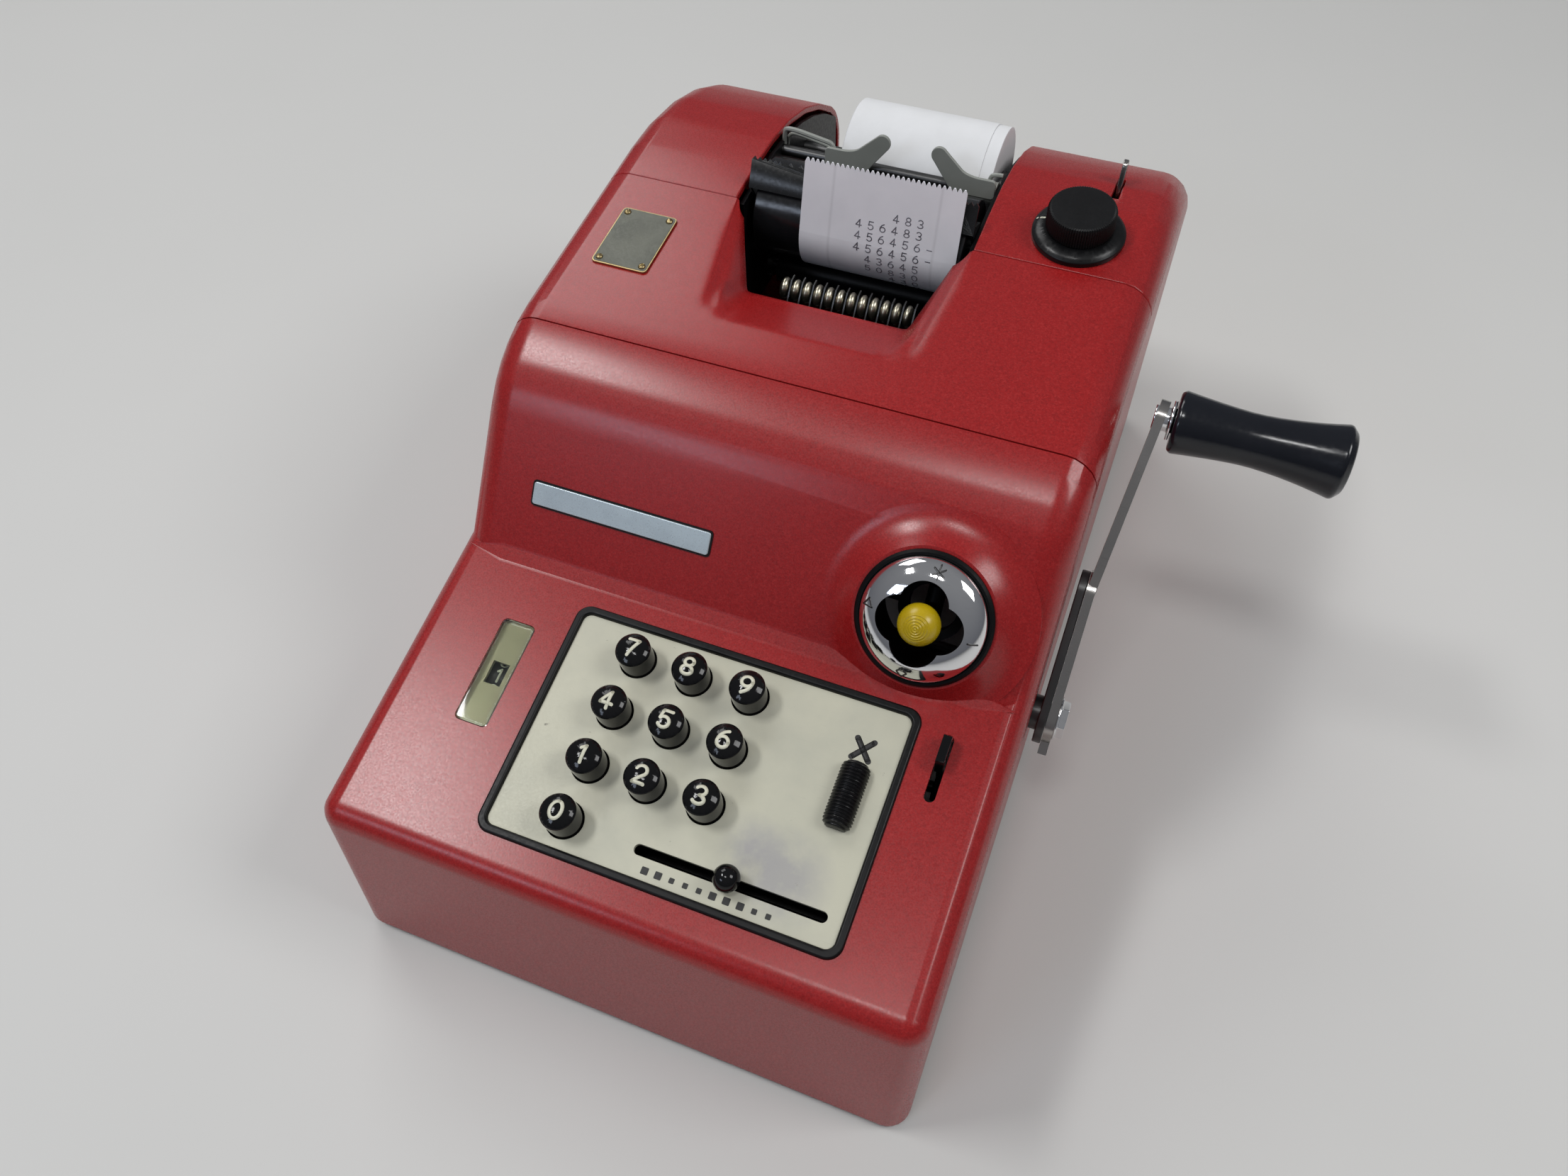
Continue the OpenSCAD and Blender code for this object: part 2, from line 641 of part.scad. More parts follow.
module key(n) {
  top_r = key_d / 2 - cap_edge;
  color("black") on_deck(key_x(n), key_v(n)) rotate_extrude() polygon(concat(
    [[0, -stem_len], [key_stem_d / 2, -stem_len], [key_stem_d / 2, -cap_sink], [key_d / 2, -cap_sink],
     [key_d / 2, key_h - cap_dome - cap_edge], [top_r, key_h - cap_dome]],
    [for (i = [1:5]) [top_r * (1 - i / 5), key_h - cap_dome * pow(1 - i / 5, 2)]]));
}

// Column slider on its carriage, multiplier key and mode lever
carriage_rim = 4;
stud_d = 2;
ball_gap = 0.8;
module pin_carriage() {
  color("gray") on_deck(ball_x, slot_v, -rail_depth) difference() {
    union() {
      translate([-carriage_w / 2, -carriage_v / 2 - carriage_rim, -carriage_h / 2])
        cube([carriage_w, carriage_v + 2 * carriage_rim, carriage_h]);
      for (i = [-2:2], j = [-1, 1])
        translate([i * carriage_w / 5.5, j * carriage_v / 2, -carriage_h / 2 - 3])
          cylinder(d = stud_d, h = 4);
    }
    for (j = [-1, 1]) translate([-far / 2, j * carriage_v / 2, 0]) rotate([0, 90, 0])
      cylinder(d = rail_d + 2 * run, h = far);
  }
}
module column_slider() {
  color("black") on_deck(ball_x, slot_v) {
    translate([0, 0, ball_d / 2 + ball_gap]) sphere(d = ball_d);
    translate([0, 0, carriage_h / 2 - rail_depth])
      cylinder(d = ball_stem_d, h = rail_depth - carriage_h / 2 + ball_d / 2);
  }
}
mult_gap = 0.3;
mult_h = 3.4;
rib_h = 0.9;
rib_w = 1.2;
mult_foot = [7, 2];
mult_drop = plate_t + plate_sink + free;
module multiplier_key() {
  rib_step = mult_l / 7.7;
  color("black") on_deck(mult_x, mult_v) {
    translate([-mult_w / 2, -mult_l / 2, mult_gap]) linear_extrude(mult_h)
      round_rect(mult_w, mult_l, window_r);
    for (i = [-3:3]) translate([-mult_w / 2 + rib_h, i * rib_step - rib_w / 2, mult_gap + mult_h])
      cube([mult_w - 2 * rib_h, rib_w, rib_h]);
    translate([-mult_stem[0] / 2, -mult_stem[1] / 2, -mult_drop - mult_foot[1]])
      cube([mult_stem[0], mult_stem[1], mult_drop + mult_foot[1] + mult_gap + eps]);
    translate([-mult_foot[0] / 2, -mult_stem[1] / 2, -mult_drop - mult_foot[1]])
      cube([mult_foot[0], mult_stem[1], mult_foot[1]]);
  }
}
mode_hub_d = 9;
mode_hub_w = 5;
mode_blade = [2.5, 6];
mode_head_w = mode_w - 2 * free;
mode_head_h = 6;
module mode_lever() {
  color("black") on_deck(mode_x, mode_v, -mode_depth) difference() {
    union() {
      translate([-mode_hub_w / 2, 0, 0]) rotate([0, 90, 0]) cylinder(d = mode_hub_d, h = mode_hub_w);
      translate([-mode_blade[0] / 2, -mode_blade[1] / 2, 0]) cube([mode_blade[0], mode_blade[1], mode_depth]);
      translate([-mode_head_w / 2, -mode_head_l / 2, mode_depth - mode_head_h / 3])
        cube([mode_head_w, mode_head_l, mode_head_h * 5 / 6]);
      translate([-mode_head_w / 2, 0, mode_depth + mode_head_h / 2]) rotate([0, 90, 0])
        cylinder(d = mode_head_l, h = mode_head_w);
    }
    translate([-far / 2, 0, 0]) rotate([0, 90, 0]) cylinder(d = mode_rod_d + 2 * run, h = far);
    translate([-far / 2, -far / 2, mode_depth + mode_head_h]) cube(far);
  }
}

// Counter behind its window
module indicator_lens() {
  color("lightcyan", 0.4) on_deck(window_x0, window_v0, -wall) linear_extrude(wall + lens_lip)
    round_rect(window_w, window_l, window_r);
}
lens_lip = 0.4;
cheek_t = 2;
cheek_w = 10;
counter_pin_d = 3;
digit_hole = [6, 8];
module indicator_mask() {
  c = [window_x0 + window_w / 2, window_v0 + window_l / 2];
  half = window_w / 2 + cheek_t;
  color("wheat") on_deck(c[0], c[1], -mask_depth) difference() {
    union() {
      translate([-half, -window_l / 2 - cheek_t, -mask_t]) cube([2 * half, window_l + 2 * cheek_t, mask_t]);
      for (side = [-1, 1])
        translate([side > 0 ? half - cheek_t : -half, -cheek_w / 2, -counter_d - cheek_t])
          cube([cheek_t, cheek_w, counter_d + cheek_t - mask_t + eps]);
    }
    translate([-digit_hole[0] / 2, -digit_hole[1] / 2, -mask_t - 1])
      cube([digit_hole[0], digit_hole[1], mask_t + 2]);
    translate([-far / 2, 0, mask_depth - counter_depth]) rotate([0, 90, 0])
      cylinder(d = counter_pin_d + 2 * run, h = far);
  }
}
module counter_wheel() {
  half = window_w / 2;
  color("black") on_deck(window_x0 + window_w / 2, window_v0 + window_l / 2, -counter_depth)
    rotate([0, 90, 0]) {
      translate([0, 0, -half + free]) cylinder(d = counter_d, h = 2 * (half - free));
      translate([0, 0, -half - cheek_t]) cylinder(d = counter_pin_d, h = 2 * (half + cheek_t));
    }
}

// Four-way selector
gim_r = 11;
gim_in = 8;
gim_h = 5;
pin_d = 3;
stick_pin_d = 2.6;
cup_t = 1.6;
cup_depth = 18;
bezel_lip = 1.6;
dome_foot = 0.8;
module selector_bezel() {
  cup = sel_cup_d / 2;
  seat_z = sel_boss_h + dome_foot;
  color("black") on_slope(sel_x, sel_s) difference() {
    rotate_extrude() polygon([
      [cup - cup_t, -cup_depth], [cup, -cup_depth], [cup, sel_boss_h], [sel_bezel_d / 2, sel_boss_h],
      [sel_bezel_d / 2, sel_boss_h + bezel_lip / 2],
      [sel_bezel_d / 2 - bezel_lip / 2, sel_boss_h + bezel_lip],
      [sel_dome_d / 2 + seat, sel_boss_h + bezel_lip],
      [sel_dome_d / 2 + seat, seat_z], [cup - cup_t, seat_z]]);
    translate([-far / 2, 0, sel_pivot]) rotate([0, 90, 0]) cylinder(d = pin_d + 2 * run, h = far);
  }
}
dome_r = sel_dome_d / 2;
dome_top_r = sel_lobe_at + sel_lobe_r * 0.4;
dome_t = 1.2;
module selector_dome() {
  low = sel_boss_h + dome_foot + eps;
  rise = [for (i = [0:10]) let (a = 9 * i)
    [dome_top_r + (dome_r - dome_top_r) * cos(a), low + (sel_rim - low) * sin(a)]];
  inner = [for (i = [8:-1:0]) let (a = 9 * i)
    [dome_top_r + (dome_r - dome_t - dome_top_r) * cos(a), low + (sel_rim - dome_t - low) * sin(a)]];
  color("silver") on_slope(sel_x, sel_s) difference() {
    rotate_extrude() polygon(concat(rise, [[0, sel_rim], [0, sel_rim - dome_t]], inner));
    for (a = [0:90:270]) rotate(a) translate([sel_lobe_at, 0, 0]) cylinder(r = sel_lobe_r, h = far / 8);
    cylinder(r = sel_lobe_r, h = far / 8);
  }
}
module selector_gimbal() {
  color("gray") on_slope(sel_x, sel_s, sel_pivot) difference() {
    union() {
      translate([0, 0, -gim_h / 2]) cylinder(r = gim_r, h = gim_h);
      rotate([0, 90, 0]) translate([0, 0, -sel_cup_d / 2 + free])
        cylinder(d = pin_d, h = sel_cup_d - 2 * free);
    }
    translate([0, 0, -gim_h]) cylinder(r = gim_in, h = 2 * gim_h);
    rotate([90, 0, 0]) translate([0, 0, -far / 2]) cylinder(d = stick_pin_d + 2 * run, h = far);
  }
}
knob_socket = 3;
knob_foot = 0.8;
module selector_stick() {
  color("silver") on_slope(sel_x, sel_s, sel_pivot) {
    cylinder(d = sel_stem_d, h = sel_rim - sel_pivot - knob_sink + knob_socket);
    rotate([90, 0, 0]) translate([0, 0, -gim_r]) cylinder(d = stick_pin_d, h = 2 * gim_r);
    rotate([90, 0, 0]) translate([0, 0, -gim_in + 1]) cylinder(d = 1.5 * sel_stem_d, h = 2 * gim_in - 2);
  }
}
module selector_knob() {
  r = sel_knob_d / 2;
  color("gold") on_slope(sel_x, sel_s, sel_rim - knob_sink) difference() {
    rotate_extrude() polygon(concat([[0, 0], [r - knob_foot, 0], [r, knob_foot]],
      [for (i = [1:9]) let (a = 10 * i) [r * cos(a), knob_foot + r * sin(a)]]));
    translate([0, 0, -1]) cylinder(d = sel_stem_d + 2 * run, h = knob_socket + 1 + seat);
  }
}
module name_strip() {
  color("silver") on_slope(strip_x0, strip_s, 2 * eps) cube([strip_w, strip_h, badge_t]);
}
module badge_plate() {
  color("gray") on_top(badge_x0, badge_d0, 2 * eps) linear_extrude(badge_t)
    round_rect(badge_w, badge_l, window_r);
}

// Paper well, platen, paper and fingers
liner_under = wall + 1;
liner_front = seam_rear_d + seam_gap / 2 + 1;
liner_back = body_d - wall - 8;
liner_low = well_z - 4;
release_room = 5;
module liner_outline(low) {
  intersection() {
    translate([yf(liner_front), low]) square([liner_back - liner_front, far]);
    translate([-body_d / 2, 0]) polygon(concat(
      [[liner_front, low], [liner_front, top_z(liner_front) - liner_under]],
      arc(rear_c, rear_r - liner_under, 90 + top_angle, 90 - rear_turn, 6),
      arc(back_c, back_r - liner_under, 90 - rear_turn, 0, 4), [[body_d - liner_under, low]]));
  }
}
module well_liner() {
  x0 = well_x0 + liner_gap;
  x1 = well_x1 - liner_gap;
  color([0.08, 0.08, 0.09]) difference() {
    union() {
      sheet_x(x0, liner_t) liner_outline(liner_low);
      sheet_x(x1 - liner_t, liner_t) liner_outline(liner_low);
      translate([x0, yf(release_at[0] + release_room), liner_low])
        cube([x1 - x0, liner_back - release_at[0] - release_room, liner_t]);
    }
    rod_x(platen_at, platen_z, platen_shaft_d + 2 * free, -far / 2, far / 2);
    rod_x(finger_at[0], finger_at[1], finger_rod_d + 2 * seat, -far / 2, far / 2);
    rod_x(release_at[0], release_at[1], release_shaft_d + 2 * free, -far / 2, far / 2);
    rod_x(roll_at, roll_z, spindle_d + 2 * seat, -far / 2, far / 2);
  }
}
platen_x0 = well_x0 + liner_gap + liner_t + platen_gap;
platen_x1 = well_x1 - liner_gap - liner_t - platen_gap;
bar_low = platen_axis + 1.09 * platen_r * turn(130);
bar_top = bar_low + [4.5, 10];
bar_t = 0.8;
bar_tooth = 1.2;
bar_ear = 1.2;
module tear_bar() {
  x0 = well_x0 + liner_gap + liner_t;
  x1 = well_x1 - liner_gap - liner_t;
  lean = atan2(bar_top[1] - bar_low[1], bar_top[0] - bar_low[0]);
  length = norm(bar_top - bar_low);
  teeth = floor((x1 - x0) / bar_tooth / 1.6);
  color([0.25, 0.26, 0.27]) {
    translate([x0, yf(bar_low[0]), bar_low[1]]) rotate([lean, 0, 0]) linear_extrude(bar_t)
      polygon(concat([[0, 0]],
        [for (i = [0:teeth]) each [[(x1 - x0) * i / teeth, length - bar_tooth],
          [(x1 - x0) * min(teeth, i + 0.5) / teeth, i < teeth ? length : length - bar_tooth]]],
        [[x1 - x0, 0]]));
    for (x = [x0, x1 - bar_ear]) sheet_x(x, bar_ear) translate([-body_d / 2, 0]) polygon([
      bar_low + [-0.5, 0.3], bar_low + [0.6, 3], platen_axis + platen_r * [-0.18, 0.8],
      platen_axis + platen_r * [-0.18, 0.35], platen_axis + platen_r * [-0.41, 0.35]]);
  }
}
module platen() {
  color([0.05, 0.05, 0.06]) difference() {
    rod_x(platen_at, platen_z, platen_d, platen_x0, platen_x1);
    rod_x(platen_at, platen_z, platen_shaft_d + 2 * run, -far / 2, far / 2);
  }
}
gear_x = knob_x - pinion_r - tooth_h;
gear_t = 3;
gear_hub_d = 14;
shaft_end = frame_x + frame_t + bush_rim;
module platen_shaft() {
  color("silver") rod_x(platen_at, platen_z, platen_shaft_d, -shaft_end, shaft_end);
}
module platen_gear() {
  color("goldenrod") difference() {
    union() {
      rod_x(platen_at, platen_z, 2 * crown_gear_r + gear_face, gear_x - gear_t, gear_x);
      rod_x(platen_at, platen_z, gear_hub_d, gear_x - 3 * gear_t, gear_x);
      translate([gear_x - eps, yf(platen_at), platen_z]) rotate([top_angle, 0, 0])
        for (i = [0:crown_teeth - 1]) rotate([360 * i / crown_teeth, 0, 0])
          translate([0, -tooth_w / 2, crown_gear_r - gear_face / 2]) cube([2 * tooth_h, tooth_w, gear_face]);
    }
    rod_x(platen_at, platen_z, platen_shaft_d + 2 * run, -far / 2, far / 2);
  }
}
pinion_low = -(top_z(knob_at) - platen_z) / cos(top_angle) + crown_gear_r - gear_face / 2 + free;
module feed_pinion() {
  root_r = pinion_r - tooth_h - free;
  color("goldenrod") on_top(knob_x, knob_at, pinion_low) difference() {
    linear_extrude(gear_face - 2 * free) {
      circle(root_r);
      for (i = [0:pinion_teeth - 1]) rotate(360 * (i + 0.5) / pinion_teeth)
        translate([0, -tooth_w / 2]) square([pinion_r + tooth_h - free, tooth_w]);
    }
    translate([0, 0, -1]) cylinder(d = knob_shaft_d + 2 * run, h = gear_face + 2);
  }
}
flange_t = 4;
module knob_flange() {
  r = flange_d / 2;
  color("black") on_top(knob_x, knob_at) difference() {
    rotate_extrude() polygon([
      [0, -wall - seam_gap], [r / 2, -wall - seam_gap], [r / 2, 2 * eps], [r, 2 * eps],
      [r, flange_t * 0.45], [r - flange_t * 0.4, flange_t * 0.8], [r - flange_t, flange_t], [0, flange_t]]);
    translate([0, 0, -wall - 1]) cylinder(d = knob_shaft_d + 2 * run, h = far / 8);
  }
}
flute_d = 2.2;
knob_dish = 0.6;
module feed_knob() {
  color("black") on_top(knob_x, knob_at) {
    difference() {
      translate([0, 0, flange_t + free]) cylinder(d = knob_d, h = knob_h);
      for (i = [0:23]) rotate(15 * i) translate([knob_d / 2 + flute_d / 4, 0, flange_t])
        cylinder(d = flute_d, h = knob_h - 1, $fn = 16);
      translate([0, 0, flange_t + free + knob_h - knob_dish]) cylinder(d = knob_d * 0.7, h = 2 * knob_dish);
    }
    translate([0, 0, pinion_low]) cylinder(d = knob_shaft_d, h = flange_t + 2 - pinion_low);
  }
}
module pressure_roller() {
  color([0.15, 0.15, 0.15]) difference() {
    rod_x(press_at[0], press_at[1], press_d, platen_x0 + press_in, platen_x1 - press_in);
    rod_x(press_at[0], press_at[1], press_pin_d + 2 * run, -far / 2, far / 2);
  }
}
press_in = 6;
link_t = 2;
link_w = 6;
link_in = press_in - link_t - 2.5;
module release_shaft() {
  lean = release_at - press_at;
  color("silver") {
    rod_x(release_at[0], release_at[1], release_shaft_d, -shaft_end, shaft_end);
    rod_x(press_at[0], press_at[1], press_pin_d, platen_x0 + link_in - 0.5, platen_x1 - link_in + 0.5);
    for (x = [platen_x0 + link_in, platen_x1 - link_in - link_t])
      sheet_x(x, link_t) translate([-body_d / 2, 0]) {
      for (p = [release_at, press_at]) translate(p) circle(d = 1.5 * link_w);
      translate(press_at) rotate(atan2(lean[1], lean[0])) translate([0, -link_w / 2])
        square([norm(lean), link_w]);
    }
  }
}
lever_w = 5;
lever_eye_d = 11;
lever_over = 9;
module release_lever() {
  lean = release_tip - release_at;
  color("gray") difference() {
    sheet_x(release_x - release_t / 2, release_t) translate([-body_d / 2, 0]) {
      translate(release_at) circle(d = lever_eye_d);
      translate(release_at) rotate(atan2(lean[1], lean[0])) {
        translate([0, -lever_w / 2]) square([norm(lean) + lever_over, lever_w]);
        translate([norm(lean) + lever_over, 0]) circle(d = lever_w);
      }
    }
    rod_x(release_at[0], release_at[1], release_shaft_d + 2 * run, -far / 2, far / 2);
  }
}
paper_leave = 165;
paper_top = platen_z + 30;
paper_in = platen_r + free;
function paper_line(r) = let (
    start = platen_axis + r * turn(paper_leave))
  concat(arc(platen_axis, r, 275, paper_leave, 20),
         [start + turn(paper_leave - 90) * (paper_top - start[1]) / sin(paper_leave - 90)]);
module paper_strip() {
  a = paper_line(paper_in);
  b = paper_line(paper_in + paper_t);
  tail = [roll_at, roll_z - roll_d / 2 - 2 * free - paper_t];
  color("white") sheet_x(paper_x - paper_w / 2, paper_w) translate([-body_d / 2, 0])
    polygon(concat([tail + [0, paper_t]], a, [for (i = [len(b) - 1:-1:0]) b[i]], [tail]));
}
module paper_roll() {
  color("white") difference() {
    rod_x(roll_at, roll_z, roll_d, paper_x - paper_w / 2, paper_x + paper_w / 2);
    rod_x(roll_at, roll_z, core_d + 2 * run, -far / 2, far / 2);
  }
}
module roll_spindle() {
  color("darkgray") {
    rod_x(roll_at, roll_z, core_d, paper_x - paper_w / 2 - 1, paper_x + paper_w / 2 + 1);
    rod_x(roll_at, roll_z, spindle_d, well_x0 + liner_gap - 1, well_x1 - liner_gap + 1);
  }
}
finger_w = 16;
finger_eye_d = 8;
finger_t = 1.4;
finger_lean = 84;
finger_over = 3;
module paper_finger(x0, side) {
  c = finger_at;
  w = finger_w;
  color("slategray") difference() {
    union() {
      rod_x(c[0], c[1], finger_eye_d, x0, x0 + finger_w);
      translate([side > 0 ? x0 : x0 + finger_w, yf(c[0] - finger_eye_d / 2 + 1), c[1]])
        mirror([side > 0 ? 0 : 1, 0, 0])
        rotate([finger_lean, 0, 0]) linear_extrude(finger_t) polygon(w * [
          [0, 0], [1, 0], [1.13, 0.19], [1.56, 0.75], [1.5, 0.94],
          [1.31, 1], [0.75, 0.5], [0.5, 0.44], [0, 0.44]]);
    }
    rod_x(c[0], c[1], finger_rod_d + 2 * run, -far / 2, far / 2);
  }
}
module paper_finger_left() { paper_finger(paper_x - paper_w / 2 - finger_over, 1); }
module paper_finger_right() { paper_finger(well_x1 - liner_gap - liner_t - free - finger_w, -1); }

// Printing hammers on their shaft
hammer_shift = 4.5;
hammer_hub = [10, 3.2];
hammer_t = 1;
hammer_w = 5;
module type_hammers() {
  lean = hammer_head - hammer_axis;
  x0 = paper_x - hammer_shift - hammer_pitch * (hammers - 1) / 2;
  color("darkkhaki") for (i = [0:hammers - 1]) translate([x0 + i * hammer_pitch, 0, 0]) difference() {
    union() {
      rod_x(hammer_axis[0], hammer_axis[1], hammer_hub[0], -hammer_hub[1] / 2, hammer_hub[1] / 2);
      sheet_x(-hammer_t / 2, hammer_t) translate([yf(hammer_axis[0]), hammer_axis[1]])
        rotate(atan2(lean[1], lean[0])) translate([0, -hammer_w / 2]) square([norm(lean) - 1, hammer_w]);
      translate([0, yf(hammer_head[0]), hammer_head[1]]) sphere(d = hammer_pitch - free);
    }
    rod_x(hammer_axis[0], hammer_axis[1], hammer_shaft_d + 2 * run, -far / 2, far / 2);
  }
}

// Crank and its shaft
kink = 0.42;
nut_h = 2.4;
washer_t = 0.8;
cam_d = 30;
cam_lobe_d = 22;
cam_hub = [18, 9];
plate_ends = [20, 14];
arm_ends = [18, 15];
upper_ends = [13.5, 12];
tail = [13, 6];
module main_shaft() {
  color("dimgray") {
    rod_x(crank_at, crank_z, crank_shaft_d, -shaft_end, arm_x + arm_t + nut_h - seam_gap);
    rod_x(crank_at, crank_z, hub_d, shaft_end + 1, crank_x);
  }
}
module drive_cams() {
  color("gray") for (x = frame_x * [-0.67, 0.56]) difference() {
    union() {
      rod_x(crank_at, crank_z, cam_hub[0], x, x + cam_hub[1]);
      sheet_x(x + cam_hub[1] / 3, cam_hub[1] / 3) translate([yf(crank_at), crank_z]) rotate(-60) {
        circle(d = cam_d);
        translate([0.3 * cam_d, 0]) circle(d = cam_lobe_d);
      }
    }
    rod_x(crank_at, crank_z, crank_shaft_d + 2 * run, -far / 2, far / 2);
  }
}
module arm_bar(ends, l, t) {
  linear_extrude(t) polygon([[0, -ends[0] / 2], [l, -ends[1] / 2], [l, ends[1] / 2], [0, ends[0] / 2]]);
  cylinder(d = ends[0], h = t);
  translate([l, 0, 0]) cylinder(d = ends[1], h = t);
}
module on_crank(x) {
  translate([x, yf(crank_at), crank_z]) rotate([crank_rest, 0, 0]) rotate([90, 0, 90]) children();
}
module crank_plate() {
  color([0.2, 0.2, 0.2]) difference() {
    on_crank(crank_x) arm_bar(plate_ends, crank_l * kink, arm_t - seat);
    rod_x(crank_at, crank_z, crank_shaft_d + 2 * run, -far / 2, far / 2);
  }
}
module crank_arm() {
  low = crank_l * kink;
  up = crank_l - low;
  lean = atan2(arm_out, up);
  color("gainsboro") difference() {
    union() {
      on_crank(arm_x) arm_bar(arm_ends, low, arm_t);
      on_crank(arm_x) translate([-tail[0], -tail[1] / 2, 0]) cube([tail[0], tail[1], arm_t]);
      on_crank(arm_x) translate([low, 0, 0]) rotate([0, -lean, 0]) arm_bar(upper_ends, up / cos(lean), arm_t);
    }
    translate([arm_x - far, -far / 2, 0]) cube(far);
    rod_x(crank_at, crank_z, crank_shaft_d + 2 * run, -far / 2, far / 2);
    rod_x(grip_at[0], grip_at[1], grip_pin_d + 2 * run, -far / 2, far / 2);
  }
}
module crank_nut() {
  x = arm_x + arm_t;
  color("silver") difference() {
    union() {
      rod_x(crank_at, crank_z, 15, x, x + washer_t);
      translate([x + washer_t, yf(crank_at), crank_z]) rotate([0, 90, 0])
        cylinder(d = 13, h = nut_h, $fn = 6);
    }
    rod_x(crank_at, crank_z, crank_shaft_d + 2 * run, -far / 2, x + nut_h - seam_gap + run);
  }
}
grip_cap = 6;
grip_waist = 17;
grip_edge = 2.5;
module grip_pin() {
  color("silver") {
    rod_x(grip_at[0], grip_at[1], grip_pin_d, arm_x + arm_out - 0.6, grip_x + grip_l - grip_cap);
    rod_x(grip_at[0], grip_at[1], grip_pin_d + 5, grip_x - grip_gap / 2, grip_x - free);
  }
}
module crank_grip() {
  waist_r = grip_waist / 2;
  color([0.05, 0.06, 0.12]) translate([grip_x, yf(grip_at[0]), grip_at[1]]) rotate([0, 90, 0])
    difference() {
      rotate_extrude() polygon(concat([[0, 0], [grip_d / 2 - grip_edge, 0]],
        [for (i = [0:12]) let (u = i / 12, big = grip_d / 2 - 1 + u)
          [waist_r + (big - waist_r) * pow(abs(2 * u - 0.9) / 1.1, 1.6), 1.5 + u * (grip_l - 4)]],
        [[grip_d / 2 - grip_edge, grip_l], [0, grip_l]]));
      translate([0, 0, -1]) cylinder(d = grip_pin_d + 2 * run, h = grip_l - grip_cap + 1.5);
    }
}
module placed() { translate([-middle_x, 0, 0]) children(); }

for (n = [0:9]) placed() key(n);
placed() base_plate();
placed() rubber_feet();
placed() side_frame_left();
placed() side_frame_right();
placed() cross_rods();
placed() shaft_bushes();
placed() front_cover();
placed() top_cover();
placed() rear_cover();
placed() keyboard_trim();
placed() keyboard_plate();
placed() key_guide_plate();
placed() pin_carriage();
placed() column_slider();
placed() multiplier_key();
placed() mode_lever();
placed() indicator_lens();
placed() indicator_mask();
placed() counter_wheel();
placed() selector_bezel();
placed() selector_dome();
placed() selector_gimbal();
placed() selector_stick();
placed() selector_knob();
placed() name_strip();
placed() badge_plate();
placed() well_liner();
placed() tear_bar();
placed() platen();
placed() platen_shaft();
placed() platen_gear();
placed() pressure_roller();
placed() release_shaft();
placed() release_lever();
placed() paper_strip();
placed() paper_roll();
placed() roll_spindle();
placed() paper_finger_left();
placed() paper_finger_right();
placed() type_hammers();
placed() knob_flange();
placed() feed_knob();
placed() feed_pinion();
placed() main_shaft();
placed() drive_cams();
placed() crank_plate();
placed() crank_arm();
placed() crank_nut();
placed() grip_pin();
placed() crank_grip();
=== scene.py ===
"""Looks of a hand-cranked adding machine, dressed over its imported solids. Sizes are in millimetres."""
import json
import math

import bpy
from mathutils import Matrix, Vector

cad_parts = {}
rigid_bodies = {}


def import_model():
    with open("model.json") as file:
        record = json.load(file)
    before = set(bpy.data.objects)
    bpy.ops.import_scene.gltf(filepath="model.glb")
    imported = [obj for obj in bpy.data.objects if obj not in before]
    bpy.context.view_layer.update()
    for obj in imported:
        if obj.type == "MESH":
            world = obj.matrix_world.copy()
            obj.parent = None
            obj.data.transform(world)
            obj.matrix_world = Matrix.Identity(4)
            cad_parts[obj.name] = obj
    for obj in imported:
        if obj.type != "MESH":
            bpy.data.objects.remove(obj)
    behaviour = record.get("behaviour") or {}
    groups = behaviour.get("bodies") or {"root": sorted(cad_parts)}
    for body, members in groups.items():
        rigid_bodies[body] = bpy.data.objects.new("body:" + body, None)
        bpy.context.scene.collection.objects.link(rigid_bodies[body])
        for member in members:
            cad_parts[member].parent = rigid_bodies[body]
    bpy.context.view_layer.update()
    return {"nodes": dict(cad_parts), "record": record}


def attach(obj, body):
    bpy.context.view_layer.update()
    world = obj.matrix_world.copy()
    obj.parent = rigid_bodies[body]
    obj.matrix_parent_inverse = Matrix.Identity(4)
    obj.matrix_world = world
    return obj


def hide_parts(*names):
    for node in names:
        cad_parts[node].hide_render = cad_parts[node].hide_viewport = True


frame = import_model()

# One millimetre in the frame's metres, and the casing's middle and front seen from the frame's origin
MM = 0.001
MIDDLE = 35.2
HALF_DEPTH = 174.0

# Each painted face: its angle to the floor, and the depth and height at which it starts
DECK_ANGLE, DECK_FOOT = 10.9, (0.0, 72.152)
SLOPE_ANGLE, SLOPE_FOOT = 52.2, (108.0, 92.95)
TOP_ANGLE, TOP_FOOT = 5.6, (256.368, 158.851)


# Places: millimetres on the deck, the slope and the top, from the front and the middle of the casing

def tilted(foot, angle, x, along, height):
    """Matrix of a spot on a tilted face, with its own Z along the face's normal."""
    return inside(0, *foot) @ turned_by(angle, "X") @ shifted(x, along, height)


def on_deck(x, along, height=0.0):
    return tilted(DECK_FOOT, DECK_ANGLE, x, along, height)


def on_slope(x, along, height=0.0):
    return tilted(SLOPE_FOOT, SLOPE_ANGLE, x, along, height)


def on_top(x, depth, height=0.0):
    return tilted(TOP_FOOT, TOP_ANGLE, x, (depth - TOP_FOOT[0]) / math.cos(math.radians(TOP_ANGLE)), height)


def inside(x, depth, height):
    return shifted(x - MIDDLE, depth - HALF_DEPTH, height)


def heading(angle):
    """A step of one in a direction given in degrees."""
    return Vector((math.cos(math.radians(angle)), math.sin(math.radians(angle))))


def turned_by(degrees, axis):
    return Matrix.Rotation(math.radians(degrees), 4, axis)


def shifted(x, y, z):
    return Matrix.Translation(Vector((x, y, z)) * MM)


